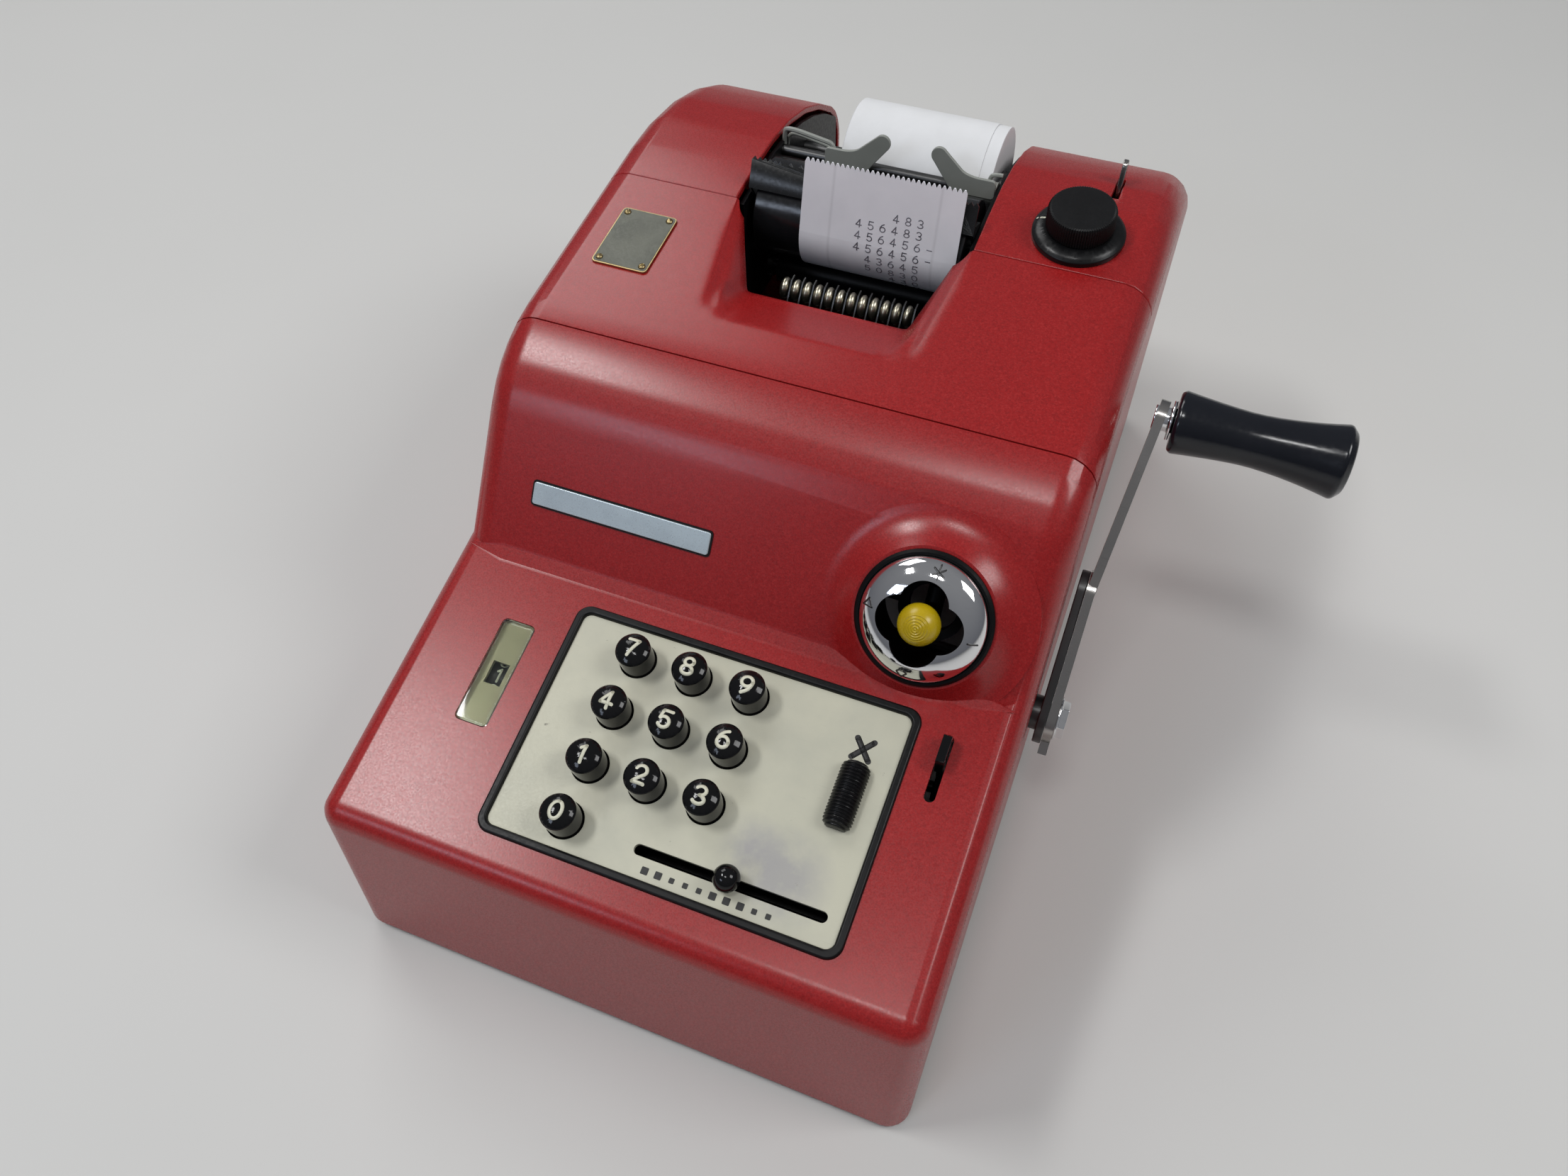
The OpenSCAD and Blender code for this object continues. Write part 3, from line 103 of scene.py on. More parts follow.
CASING = inside(0, 0, 0)
Z_TO_X = turned_by(90, "Y")
Z_TO_Y = turned_by(-90, "X")
XYZ_TO_YZX = Matrix(((0, 0, 1, 0), (1, 0, 0, 0), (0, 1, 0, 0), (0, 0, 0, 1)))


# Modelling steps that many pieces share

def start_clear():
    if bpy.context.mode != "OBJECT":
        bpy.ops.object.mode_set(mode="OBJECT")
    bpy.ops.object.select_all(action="DESELECT")


def take(piece):
    start_clear()
    piece.select_set(True)
    bpy.context.view_layer.objects.active = piece
    return piece


def edit_all(piece):
    take(piece)
    bpy.ops.object.mode_set(mode="EDIT")
    bpy.ops.mesh.select_all(action="SELECT")


def leave_edit():
    bpy.ops.object.mode_set(mode="OBJECT")


def select_none(piece, kind):
    take(piece)
    bpy.ops.object.mode_set(mode="EDIT")
    bpy.ops.mesh.select_mode(type=kind)
    bpy.ops.mesh.select_all(action="DESELECT")
    leave_edit()


def select_faces(piece, wanted):
    """Enters edit mode with just the faces selected that the test wants."""
    select_none(piece, "FACE")
    for face in piece.data.polygons:
        face.select = wanted(face)
    bpy.ops.object.mode_set(mode="EDIT")


def select_edges(piece, wanted):
    """Enters edit mode with just the edges selected that the test wants, by edge and middle."""
    select_none(piece, "EDGE")
    points = piece.data.vertices
    for edge in piece.data.edges:
        edge.select = wanted(edge, (points[edge.vertices[0]].co + points[edge.vertices[1]].co) / 2)
    bpy.ops.object.mode_set(mode="EDIT")


def settle(piece, place=None):
    """Moves a piece modelled at the origin to its place and writes the place into its mesh."""
    take(piece)
    if place is not None:
        piece.matrix_world = place @ piece.matrix_world
    bpy.ops.object.transform_apply(location=True, rotation=True, scale=True)
    return piece


def with_modifier(piece, kind, **settings):
    modifier = piece.modifiers.new(kind.lower(), kind)
    for name, value in settings.items():
        setattr(modifier, name, value)
    take(piece)
    bpy.ops.object.modifier_apply(modifier=modifier.name)
    return piece


def smooth(piece, angle=38):
    take(piece)
    bpy.ops.object.shade_smooth_by_angle(angle=math.radians(angle))
    return piece


def even_shading(piece):
    """Lets broad faces lead the shading at the edges between faces."""
    return with_modifier(piece, "WEIGHTED_NORMAL", keep_sharp=True, weight=60)


def soften(piece, width, segments=2, angle=32):
    """Rounds the piece's edges and shades it smooth across them."""
    with_modifier(piece, "BEVEL", width=width * MM, segments=segments, limit_method="ANGLE",
                  angle_limit=math.radians(angle), use_clamp_overlap=True)
    return even_shading(smooth(piece))


def shade_over(piece, wanted):
    """Shades smooth across every edge whose middle the test wants."""
    select_edges(piece, lambda edge, middle: wanted(middle))
    bpy.ops.mesh.mark_sharp(clear=True)
    leave_edit()
    return even_shading(piece)


def round_over(piece, wanted, width, segments, least, most):
    """Bevels just those edges whose middle the test wants and whose bend lies between two angles."""
    normals = {}
    for face in piece.data.polygons:
        for key in face.edge_keys:
            normals.setdefault(key, []).append(face.normal.copy())

    def bend(edge):
        sides = normals.get(edge.key, ())
        return math.degrees(sides[0].angle(sides[1], 0)) if len(sides) == 2 else 0

    select_edges(piece, lambda edge, middle: least < bend(edge) < most and wanted(middle))
    bpy.ops.mesh.bevel(offset=width * MM, segments=segments, affect="EDGES", clamp_overlap=True)
    leave_edit()
    return piece


def cut_by(piece, cutter):
    with_modifier(piece, "BOOLEAN", object=cutter, operation="DIFFERENCE", solver="EXACT")
    bpy.data.objects.remove(cutter)
    return piece


def ranked(piece, count, step):
    """A row of copies, each a step in millimetres from the last."""
    return with_modifier(piece, "ARRAY", count=count, use_relative_offset=False, use_constant_offset=True,
                         constant_offset_displace=Vector(step) * MM)


def again(piece):
    take(piece)
    bpy.ops.object.duplicate()
    return bpy.context.object


def joined(pieces):
    take(pieces[0])
    for piece in pieces[1:]:
        piece.select_set(True)
    bpy.ops.object.join()
    return pieces[0]


def paint(piece, material):
    piece.data.materials.clear()
    piece.data.materials.append(material)
    return piece


# Starting forms, in millimetres, each with its place in its mesh

def block(size, at=(0, 0, 0)):
    start_clear()
    bpy.ops.mesh.primitive_cube_add(size=1, location=Vector(at) * MM)
    piece = bpy.context.object
    piece.scale = Vector(size) * MM
    return settle(piece)


def disc(radius, height, at, sides=64):
    start_clear()
    bpy.ops.mesh.primitive_cylinder_add(radius=radius * MM, depth=height * MM, vertices=sides,
                                        location=Vector(at) * MM)
    return settle(bpy.context.object)


def ball(radii, at=(0, 0, 0), segments=20, rings=12):
    start_clear()
    bpy.ops.mesh.primitive_uv_sphere_add(radius=1, segments=segments, ring_count=rings,
                                         location=Vector(at) * MM)
    piece = bpy.context.object
    piece.scale = Vector(radii) * MM
    return smooth(settle(piece), 80)


def traced(points):
    """Points joined by extruding one vertex after another; stays in edit mode, all selected."""
    start_clear()
    bpy.ops.mesh.primitive_plane_add(size=MM)
    piece = bpy.context.object
    bpy.ops.object.mode_set(mode="EDIT")
    bpy.ops.mesh.select_mode(type="VERT")
    bpy.ops.mesh.select_all(action="SELECT")
    bpy.ops.mesh.merge(type="CENTER")
    last = Vector((0, 0, 0))
    for i, spot in enumerate(points):
        point = Vector(spot) * MM
        if i:
            bpy.ops.mesh.extrude_vertices_move(TRANSFORM_OT_translate={"value": point - last})
        else:
            bpy.ops.transform.translate(value=point)
        last = point
    bpy.ops.mesh.select_all(action="SELECT")
    return piece


def turned(profile, steps=48):
    """A lathe-turned piece: a line of radius and height is spun round Z."""
    piece = traced([(radius, 0, height) for radius, height in profile])
    bpy.ops.mesh.spin(steps=steps, angle=2 * math.pi, center=(0, 0, 0), axis=(0, 0, 1), use_auto_merge=True)
    bpy.ops.mesh.select_all(action="SELECT")
    bpy.ops.mesh.remove_doubles(threshold=0.002 * MM)
    bpy.ops.mesh.normals_make_consistent(inside=False)
    leave_edit()
    return smooth(piece)


def plate(outline, thickness, corner=0.0, steps=4):
    """A flat plate: an outline is drawn in the plane Z = 0, its corners rounded, filled and raised."""
    piece = traced([(x, y, 0) for x, y in outline])
    bpy.ops.mesh.edge_face_add()
    if corner:
        bpy.ops.mesh.bevel(offset=corner * MM, segments=steps, affect="VERTICES")
    bpy.ops.mesh.select_all(action="SELECT")
    bpy.ops.mesh.extrude_region_move(TRANSFORM_OT_translate={"value": (0, 0, thickness * MM)})
    bpy.ops.mesh.select_all(action="SELECT")
    bpy.ops.mesh.normals_make_consistent(inside=False)
    leave_edit()
    return piece


def slab(wide, long, thickness, corner):
    half = (wide / 2, long / 2)
    return plate([(-half[0], -half[1]), (half[0], -half[1]), half, (-half[0], half[1])], thickness, corner)


def drawn_curve(points, smooth_bends, **settings):
    line = bpy.data.curves.new("line", "CURVE")
    line.dimensions = "3D"
    line.twist_mode = "Z_UP"
    for name, value in settings.items():
        setattr(line, name, value)
    spline = line.splines.new("NURBS" if smooth_bends else "POLY")
    spline.points.add(len(points) - 1)
    for point, spot in zip(spline.points, points):
        point.co = (*(Vector(spot) * MM), 1)
        point.tilt = math.pi / 2
    if smooth_bends:
        spline.order_u = 3
        spline.use_endpoint_u = True
        spline.resolution_u = 5
    holder = bpy.data.objects.new("line", line)
    bpy.context.scene.collection.objects.link(holder)
    take(holder)
    bpy.ops.object.convert(target="MESH")
    return bpy.context.object


def bent_wire(points, radius):
    """A round wire bent through points in millimetres of the casing."""
    wire = drawn_curve(points, True, bevel_depth=radius * MM, bevel_resolution=2, use_fill_caps=True)
    return smooth(settle(wire, CASING))


def brushed(strokes, width):
    """Flat strokes with round ends, in the plane Z = 0, facing up."""
    parts = []
    for stroke in strokes:
        parts.append(drawn_curve([(x, y, 0) for x, y in stroke], False, extrude=width * MM / 2))
        for x, y in (stroke[0], stroke[-1]):
            start_clear()
            bpy.ops.mesh.primitive_circle_add(vertices=16, radius=width * MM / 2, fill_type="TRIFAN",
                                              location=(x * MM, y * MM, 0))
            parts.append(settle(bpy.context.object))
    piece = joined(parts)
    select_faces(piece, lambda face: face.normal.z < 0)
    bpy.ops.mesh.flip_normals()
    leave_edit()
    return piece


def bow(x, y, wide, tall, start, end, steps=14):
    """Points along part of an ellipse, by angles in degrees."""
    turns = [math.radians(start + (end - start) * i / steps) for i in range(steps + 1)]
    return [(x + wide * math.cos(a), y + tall * math.sin(a)) for a in turns]


# Strokes of each sign, for a height of one
STROKES = {
    "0": [bow(0, 0.5, 0.29, 0.42, 90, 450, 28)],
    "1": [[(-0.14, 0.76), (0.06, 0.92)], [(0.06, 0.92), (0.06, 0.08)]],
    "2": [bow(0, 0.66, 0.27, 0.26, 165, -35) + [(-0.27, 0.08)], [(-0.27, 0.08), (0.29, 0.08)]],
    "3": [bow(-0.02, 0.7, 0.25, 0.22, 150, -90), bow(-0.02, 0.28, 0.29, 0.2, 90, -150)],
    "4": [[(0.1, 0.92), (-0.3, 0.32)], [(-0.3, 0.32), (0.3, 0.32)], [(0.1, 0.92), (0.1, 0.08)]],
    "5": [[(0.26, 0.92), (-0.18, 0.92)], [(-0.18, 0.92), (-0.23, 0.52)], bow(0, 0.34, 0.28, 0.26, 140, -150)],
    "6": [bow(0, 0.34, 0.28, 0.26, 0, 360, 28), bow(0.3, 0.34, 0.58, 0.6, 180, 107)],
    "7": [[(-0.27, 0.92), (0.27, 0.92)], [(0.27, 0.92), (-0.08, 0.08)]],
    "8": [bow(0, 0.7, 0.23, 0.21, 0, 360, 24), bow(0, 0.28, 0.28, 0.21, 0, 360, 24)],
    "9": [bow(0, 0.66, 0.28, 0.26, 0, 360, 28), bow(-0.3, 0.66, 0.58, 0.6, 0, -73)],
    "-": [[(-0.25, 0.5), (0.25, 0.5)]],
    "times": [[(-0.36, 0.92), (0.36, 0.08)], [(-0.36, 0.08), (0.36, 0.92)]],
    "triangle": [[(-0.42, 0.2), (0.42, 0.2)], [(0.42, 0.2), (0, 0.9)], [(0, 0.9), (-0.42, 0.2)]],
    "diamond": [[(0, 0.05), (0.4, 0.5)], [(0.4, 0.5), (0, 0.95)], [(0, 0.95), (-0.4, 0.5)],
                [(-0.4, 0.5), (0, 0.05)]],
    "star": [[(0, 0.5), (0.48 * math.cos(math.radians(a)), 0.5 + 0.48 * math.sin(math.radians(a)))]
             for a in range(30, 390, 60)],
}


def paced(stroke, pace=0.09):
    """The same stroke with points added, so that it can follow a curved face."""
    points = [stroke[0]]
    for (x0, y0), (x1, y1) in zip(stroke, stroke[1:]):
        count = max(1, math.ceil(math.hypot(x1 - x0, y1 - y0) / pace))
        points += [(x0 + (x1 - x0) * i / count, y0 + (y1 - y0) * i / count) for i in range(1, count + 1)]
    return points


def sign(symbol, height, width):
    """A printed sign round the origin."""
    strokes = [paced(stroke) for stroke in STROKES[symbol]]
    return brushed([[(x * height, (y - 0.5) * height) for x, y in stroke] for stroke in strokes], width)


def inked(piece, depth=0.05):
    return with_modifier(piece, "SOLIDIFY", thickness=depth * MM, offset=1.0)


def laid_on(piece, target, place, lift=0.06):
    """Drops flat strokes from their place along their own -Z onto a curved piece."""
    edit_all(piece)
    bpy.ops.mesh.subdivide(number_cuts=1)
    leave_edit()
    piece.matrix_world = place
    with_modifier(piece, "SHRINKWRAP", target=target, wrap_method="PROJECT", use_project_z=True,
                  use_negative_direction=True, use_positive_direction=False, offset=lift * MM)
    return inked(settle(piece))


# Finished pieces and the solids they stand for

BODY_OF = {node: body for body, nodes in frame["record"]["behaviour"]["bodies"].items() for node in nodes}


def belongs(piece, name, node, material, *replaced):
    """Names and paints a finished piece, which rides with a solid, and hides the solids that it stands for.
    """
    piece.name = name
    piece.data.name = name
    paint(piece, material)
    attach(piece, BODY_OF[node])
    if replaced:
        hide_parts(*replaced)
    return piece


def copied(node):
    """A merged copy of a solid's mesh, to be finished by hand."""
    take(frame["nodes"][node])
    bpy.ops.object.duplicate()
    piece = bpy.context.object
    bpy.ops.object.parent_clear(type="CLEAR_KEEP_TRANSFORM")
    for label in [k for k in piece.keys() if k.startswith("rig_")]:
        del piece[label]
    edit_all(piece)
    bpy.ops.mesh.remove_doubles(threshold=0.001 * MM)
    bpy.ops.mesh.dissolve_limited(angle_limit=math.radians(0.4))
    leave_edit()
    return piece


def dressed(node, material, edge=0.3, segments=2, angle=32):
    """The solid with rounded edges and smooth shading, in its finish."""
    piece = soften(copied(node), edge, segments, angle)
    return belongs(piece, node + "_finish", node, material, node)


def tinted(node, material):
    """A solid that stays as it is and only gets its finish."""
    for held in frame["nodes"][node].material_slots:
        held.material = material


# Shared effects, as shader node groups

def effect(name, inputs, output):
    """A new group with number inputs, one number output and a node for Object coordinates."""
    group = bpy.data.node_groups.new(name, "ShaderNodeTree")
    for label, value in inputs.items():
        socket = group.interface.new_socket(label, in_out="INPUT", socket_type="NodeSocketFloat")
        socket.default_value = value
    group.interface.new_socket(output, in_out="OUTPUT", socket_type="NodeSocketFloat")
    entry = group.nodes.new("NodeGroupInput")
    leave = group.nodes.new("NodeGroupOutput")
    where = group.nodes.new("ShaderNodeTexCoord")
    return group, entry, leave, where


def map_range(tree, source, low, high, to_low=0.0, to_high=1.0):
    node = tree.nodes.new("ShaderNodeMapRange")
    for index, value in ((1, low), (2, high), (3, to_low), (4, to_high)):
        if hasattr(value, "is_linked"):
            tree.links.new(value, node.inputs[index])
        else:
            node.inputs[index].default_value = value
    tree.links.new(source, node.inputs[0])
    return node.outputs[0]


def surface_grain():
    group, entry, leave, where = effect("surface_grain", {"Scale": 900.0}, "Height")
    noise = group.nodes.new("ShaderNodeTexNoise")
    noise.inputs["Detail"].default_value = 2.0
    group.links.new(where.outputs["Object"], noise.inputs["Vector"])
    group.links.new(entry.outputs["Scale"], noise.inputs["Scale"])
    group.links.new(noise.outputs["Fac"], leave.inputs["Height"])
    return group


def soft_patches():
    group, entry, leave, where = effect("soft_patches", {"Scale": 30.0, "Low": 0.4, "High": 0.7}, "Mask")
    noise = group.nodes.new("ShaderNodeTexNoise")
    noise.inputs["Detail"].default_value = 4.0
    noise.inputs["Roughness"].default_value = 0.6
    group.links.new(where.outputs["Object"], noise.inputs["Vector"])
    group.links.new(entry.outputs["Scale"], noise.inputs["Scale"])
    mask = map_range(group, noise.outputs["Fac"], entry.outputs["Low"], entry.outputs["High"])
    group.links.new(mask, leave.inputs["Mask"])
    return group


def hair_scratches():
    group, entry, leave, where = effect("hair_scratches", {"Scale": 60.0, "Low": 0.62, "High": 0.72}, "Mask")
    stretch = group.nodes.new("ShaderNodeMapping")
    stretch.inputs["Scale"].default_value = (1.0, 14.0, 14.0)
    stretch.inputs["Rotation"].default_value = (0.2, 0.3, 0.5)
    noise = group.nodes.new("ShaderNodeTexNoise")
    noise.inputs["Detail"].default_value = 3.0
    group.links.new(where.outputs["Object"], stretch.inputs["Vector"])
    group.links.new(stretch.outputs["Vector"], noise.inputs["Vector"])
    group.links.new(entry.outputs["Scale"], noise.inputs["Scale"])
    mask = map_range(group, noise.outputs["Fac"], entry.outputs["Low"], entry.outputs["High"])
    group.links.new(mask, leave.inputs["Mask"])
    return group


def paint_sparkle():
    group, entry, leave, where = effect("paint_sparkle", {"Scale": 1500.0, "Low": 0.8, "High": 1.0}, "Mask")
    cells = group.nodes.new("ShaderNodeTexVoronoi")
    split = group.nodes.new("ShaderNodeSeparateColor")
    group.links.new(where.outputs["Object"], cells.inputs["Vector"])
    group.links.new(entry.outputs["Scale"], cells.inputs["Scale"])
    group.links.new(cells.outputs["Color"], split.inputs["Color"])
    mask = map_range(group, split.outputs[0], entry.outputs["Low"], entry.outputs["High"])
    group.links.new(mask, leave.inputs["Mask"])
    return group


def upright_line():
    """A soft line across X at one place."""
    group, entry, leave, where = effect("upright_line", {"At": 0.0, "Width": 0.0005}, "Mask")
    split = group.nodes.new("ShaderNodeSeparateXYZ")
    away = group.nodes.new("ShaderNodeMath")
    away.operation = "SUBTRACT"
    size = group.nodes.new("ShaderNodeMath")
    size.operation = "ABSOLUTE"
    group.links.new(where.outputs["Object"], split.inputs["Vector"])
    group.links.new(split.outputs["X"], away.inputs[0])
    group.links.new(entry.outputs["At"], away.inputs[1])
    group.links.new(away.outputs[0], size.inputs[0])
    mask = map_range(group, size.outputs[0], entry.outputs["Width"], 0.0)
    group.links.new(mask, leave.inputs["Mask"])
    return group


def soft_spot():
    """A round mask that fades from a place to nothing at its radius."""
    group, entry, leave, where = effect("soft_spot", {"X": 0.0, "Y": 0.0, "Z": 0.0, "Radius": 0.01}, "Mask")
    place = group.nodes.new("ShaderNodeCombineXYZ")
    away = group.nodes.new("ShaderNodeVectorMath")
    away.operation = "DISTANCE"
    for axis in "XYZ":
        group.links.new(entry.outputs[axis], place.inputs[axis])
    group.links.new(where.outputs["Object"], away.inputs[0])
    group.links.new(place.outputs["Vector"], away.inputs[1])
    mask = map_range(group, away.outputs["Value"], entry.outputs["Radius"], 0.0)
    group.links.new(mask, leave.inputs["Mask"])
    return group


EFFECTS = {"grain": surface_grain(), "patches": soft_patches(), "scratches": hair_scratches(),
           "sparkle": paint_sparkle(), "line": upright_line(), "spot": soft_spot()}


# Steps in a material

def blank(name, **constants):
    material = bpy.data.materials.new(name)
    material.use_nodes = True
    shader = material.node_tree.nodes["Principled BSDF"]
    for label, value in constants.items():
        shader.inputs[label.replace("_", " ")].default_value = value
    return material, material.node_tree, shader


def add_effect(tree, kind, **values):
    node = tree.nodes.new("ShaderNodeGroup")
    node.node_tree = EFFECTS[kind]
    for label, value in values.items():
        node.inputs[label].default_value = value
    return node.outputs[0]


def add_spot(tree, place, radius):
    where = place.translation
    return add_effect(tree, "spot", X=where.x, Y=where.y, Z=where.z, Radius=radius * MM)


def blend_colour(tree, factor, below, above):
    node = tree.nodes.new("ShaderNodeMix")
    node.data_type = "RGBA"
    for socket, value in ((node.inputs[6], below), (node.inputs[7], above)):
        if hasattr(value, "is_linked"):
            tree.links.new(value, socket)
        else:
            socket.default_value = (*value, 1.0)
    tree.links.new(factor, node.inputs[0])
    return node.outputs[2]


def add_bump(tree, shader, height, strength, distance):
    node = tree.nodes.new("ShaderNodeBump")
    node.inputs["Strength"].default_value = strength
    node.inputs["Distance"].default_value = distance * MM
    tree.links.new(height, node.inputs["Height"])
    tree.links.new(node.outputs["Normal"], shader.inputs["Normal"])
    return node


def worn_finish(name, base, worn, rough, grain=900, bump=0.1, patches=40, **constants):
    """A finish with soft patches of a second tone, and a fine grain in its roughness and bump."""
    material, tree, shader = blank(name, **constants)
    mask = add_effect(tree, "patches", Scale=patches, Low=0.38, High=0.72)
    tree.links.new(blend_colour(tree, mask, base, worn), shader.inputs["Base Color"])
    fine = add_effect(tree, "grain", Scale=grain)
    tree.links.new(map_range(tree, fine, 0.25, 0.75, rough[0], rough[1]), shader.inputs["Roughness"])
    add_bump(tree, shader, fine, bump, 0.1)
    return material


def red_sparkle_paint():
    material, tree, shader = blank("red_sparkle_paint", Specular_IOR_Level=0.5)
    tone = blend_colour(tree, add_effect(tree, "patches", Scale=14, Low=0.35, High=0.7),
                        (0.285, 0.0080, 0.0088), (0.305, 0.0098, 0.0102))
    fleck = add_effect(tree, "sparkle", Scale=2300, Low=0.55, High=1.0)
    tone = blend_colour(tree, map_range(tree, fleck, 0, 1, 0, 0.3), tone, (0.48, 0.040, 0.038))
    shade = add_effect(tree, "sparkle", Scale=1900, Low=0.5, High=0.0)
    tone = blend_colour(tree, map_range(tree, shade, 0, 1, 0, 0.35), tone, (0.13, 0.003, 0.004))
    tree.links.new(tone, shader.inputs["Base Color"])
    fine = add_effect(tree, "grain", Scale=1900)
    tree.links.new(map_range(tree, fine, 0.25, 0.75, 0.23, 0.33), shader.inputs["Roughness"])
    bump = add_bump(tree, shader, fine, 0.22, 0.06)
    tree.links.new(rounded_rims(tree), bump.inputs["Normal"])
    return material


def rounded_rims(tree):
    """Normals that run softly over the two side rims of the sunken print window."""
    sides, depth, height, reach, rounding = (-43.0, 36.5), 204.0, 153.5, 34.0, 4.5
    both = tree.nodes.new("ShaderNodeMath")
    for socket, x in zip(both.inputs, sides):
        tree.links.new(add_spot(tree, inside(x, depth, height), reach), socket)
    soft = tree.nodes.new("ShaderNodeBevel")
    soft.samples = 8
    tree.links.new(map_range(tree, both.outputs[0], 0, 0.5, 0, rounding * MM), soft.inputs["Radius"])
    return soft.outputs["Normal"]


def smudged_key_plate():
    material, tree, shader = blank("smudged_key_plate", Metallic=0.1)
    tone = blend_colour(tree, add_effect(tree, "patches", Scale=40, Low=0.4, High=0.8),
                        (0.500, 0.488, 0.385), (0.415, 0.412, 0.335))
    smudge, scratch, speck = (0.315, 0.305, 0.305), (0.36, 0.35, 0.29), (0.16, 0.15, 0.12)
    for x, along, radius in ((47.0, 37.5, 17.0), (35.0, 42.5, 12.0)):
        smear = tree.nodes.new("ShaderNodeMath")
        smear.operation = "MULTIPLY"
        tree.links.new(add_spot(tree, on_deck(x, along), radius), smear.inputs[0])
        tree.links.new(add_effect(tree, "patches", Scale=70, Low=0.35, High=0.6), smear.inputs[1])
        tone = blend_colour(tree, map_range(tree, smear.outputs[0], 0, 0.7, 0, 0.8), tone, smudge)
    lines = add_effect(tree, "scratches", Scale=110, Low=0.66, High=0.8)
    tone = blend_colour(tree, map_range(tree, lines, 0, 1, 0, 0.3), tone, scratch)
    dots = add_effect(tree, "patches", Scale=260, Low=0.71, High=0.76)
    tone = blend_colour(tree, map_range(tree, dots, 0, 1, 0, 0.75), tone, speck)
    tree.links.new(tone, shader.inputs["Base Color"])
    fine = add_effect(tree, "grain", Scale=1600)
    tree.links.new(map_range(tree, fine, 0.2, 0.8, 0.38, 0.58), shader.inputs["Roughness"])
    add_bump(tree, shader, fine, 0.16, 0.06)
    return material


def plated_metal(name, tone, rough, scratched=0.5):
    material, tree, shader = blank(name, Metallic=1.0)
    lines = add_effect(tree, "scratches", Scale=90, Low=0.6, High=0.8)
    dull = tuple(c * 0.8 for c in tone)
    tree.links.new(blend_colour(tree, map_range(tree, lines, 0, 1, 0, scratched), tone, dull),
                   shader.inputs["Base Color"])
    cloud = add_effect(tree, "patches", Scale=60, Low=0.3, High=0.8)
    tree.links.new(map_range(tree, cloud, 0, 1, rough[0], rough[1]), shader.inputs["Roughness"])
    return material


def clear_lens():
    material, tree, shader = blank("clear_lens", Transmission_Weight=1.0, IOR=1.45,
                                   Base_Color=(0.90, 0.94, 0.88, 1.0))
    cloud = add_effect(tree, "patches", Scale=60, Low=0.3, High=0.9)
    tree.links.new(map_range(tree, cloud, 0, 1, 0.02, 0.05), shader.inputs["Roughness"])
    return material


def tape_paper(name, clean, grey, crease_shades=()):
    material, tree, shader = blank(name, Specular_IOR_Level=0.25)
    tone = blend_colour(tree, add_effect(tree, "patches", Scale=60, Low=0.35, High=0.75), clean, grey)
    # A darker line along each crease: painted shade of a fold that the flat tape does not have
    for at in crease_shades:
        soft = add_effect(tree, "line", At=(at - MIDDLE) * MM, Width=0.8 * MM)
        tone = blend_colour(tree, map_range(tree, soft, 0, 1, 0, 0.3), tone, tuple(c * 0.6 for c in grey))
    tree.links.new(tone, shader.inputs["Base Color"])
    fine = add_effect(tree, "grain", Scale=2200)
    tree.links.new(map_range(tree, fine, 0.2, 0.8, 0.75, 0.95), shader.inputs["Roughness"])
    add_bump(tree, shader, fine, 0.12, 0.05)
    return material


# Finishes

RED = red_sparkle_paint()
PLATE = smudged_key_plate()
KEY_BLACK = worn_finish("key_black", (0.0035, 0.0035, 0.004), (0.006, 0.006, 0.0065), (0.06, 0.11),
                        700, 0.004, Specular_IOR_Level=0.3)
SATIN_BLACK = worn_finish("satin_black", (0.003, 0.003, 0.0035), (0.006, 0.006, 0.0065), (0.26, 0.36),
                          900, 0.03, Specular_IOR_Level=0.3)
CUP_BLACK = worn_finish("cup_black", (0.0015, 0.0015, 0.0018), (0.003, 0.003, 0.0032), (0.4, 0.55),
                        900, 0.03, Specular_IOR_Level=0.15)
MATT_BLACK = worn_finish("matt_black", (0.004, 0.004, 0.0045), (0.008, 0.008, 0.0085), (0.38, 0.52),
                         1100, 0.06, Specular_IOR_Level=0.25)
RUBBER = worn_finish("trim_rubber", (0.003, 0.003, 0.0035), (0.006, 0.006, 0.006), (0.3, 0.45),
                     1000, 0.05, Specular_IOR_Level=0.22)
INK_BLACK = worn_finish("printed_black", (0.008, 0.008, 0.008), (0.014, 0.014, 0.013), (0.45, 0.6),
                        1500, 0.05)
NUMERAL = worn_finish("numeral_white", (0.66, 0.65, 0.52), (0.58, 0.57, 0.44), (0.35, 0.5),
                      1500, 0.04, 120)
YELLOW = worn_finish("selector_yellow", (0.47, 0.33, 0.005), (0.37, 0.25, 0.004), (0.24, 0.3),
                     1200, 0.005, 90)
GRIP = worn_finish("grip_black", (0.0035, 0.0045, 0.008), (0.006, 0.007, 0.011), (0.14, 0.22),
                   700, 0.015)
PLATEN = worn_finish("platen_rubber", (0.006, 0.006, 0.007), (0.011, 0.011, 0.012), (0.14, 0.26),
                     600, 0.04)
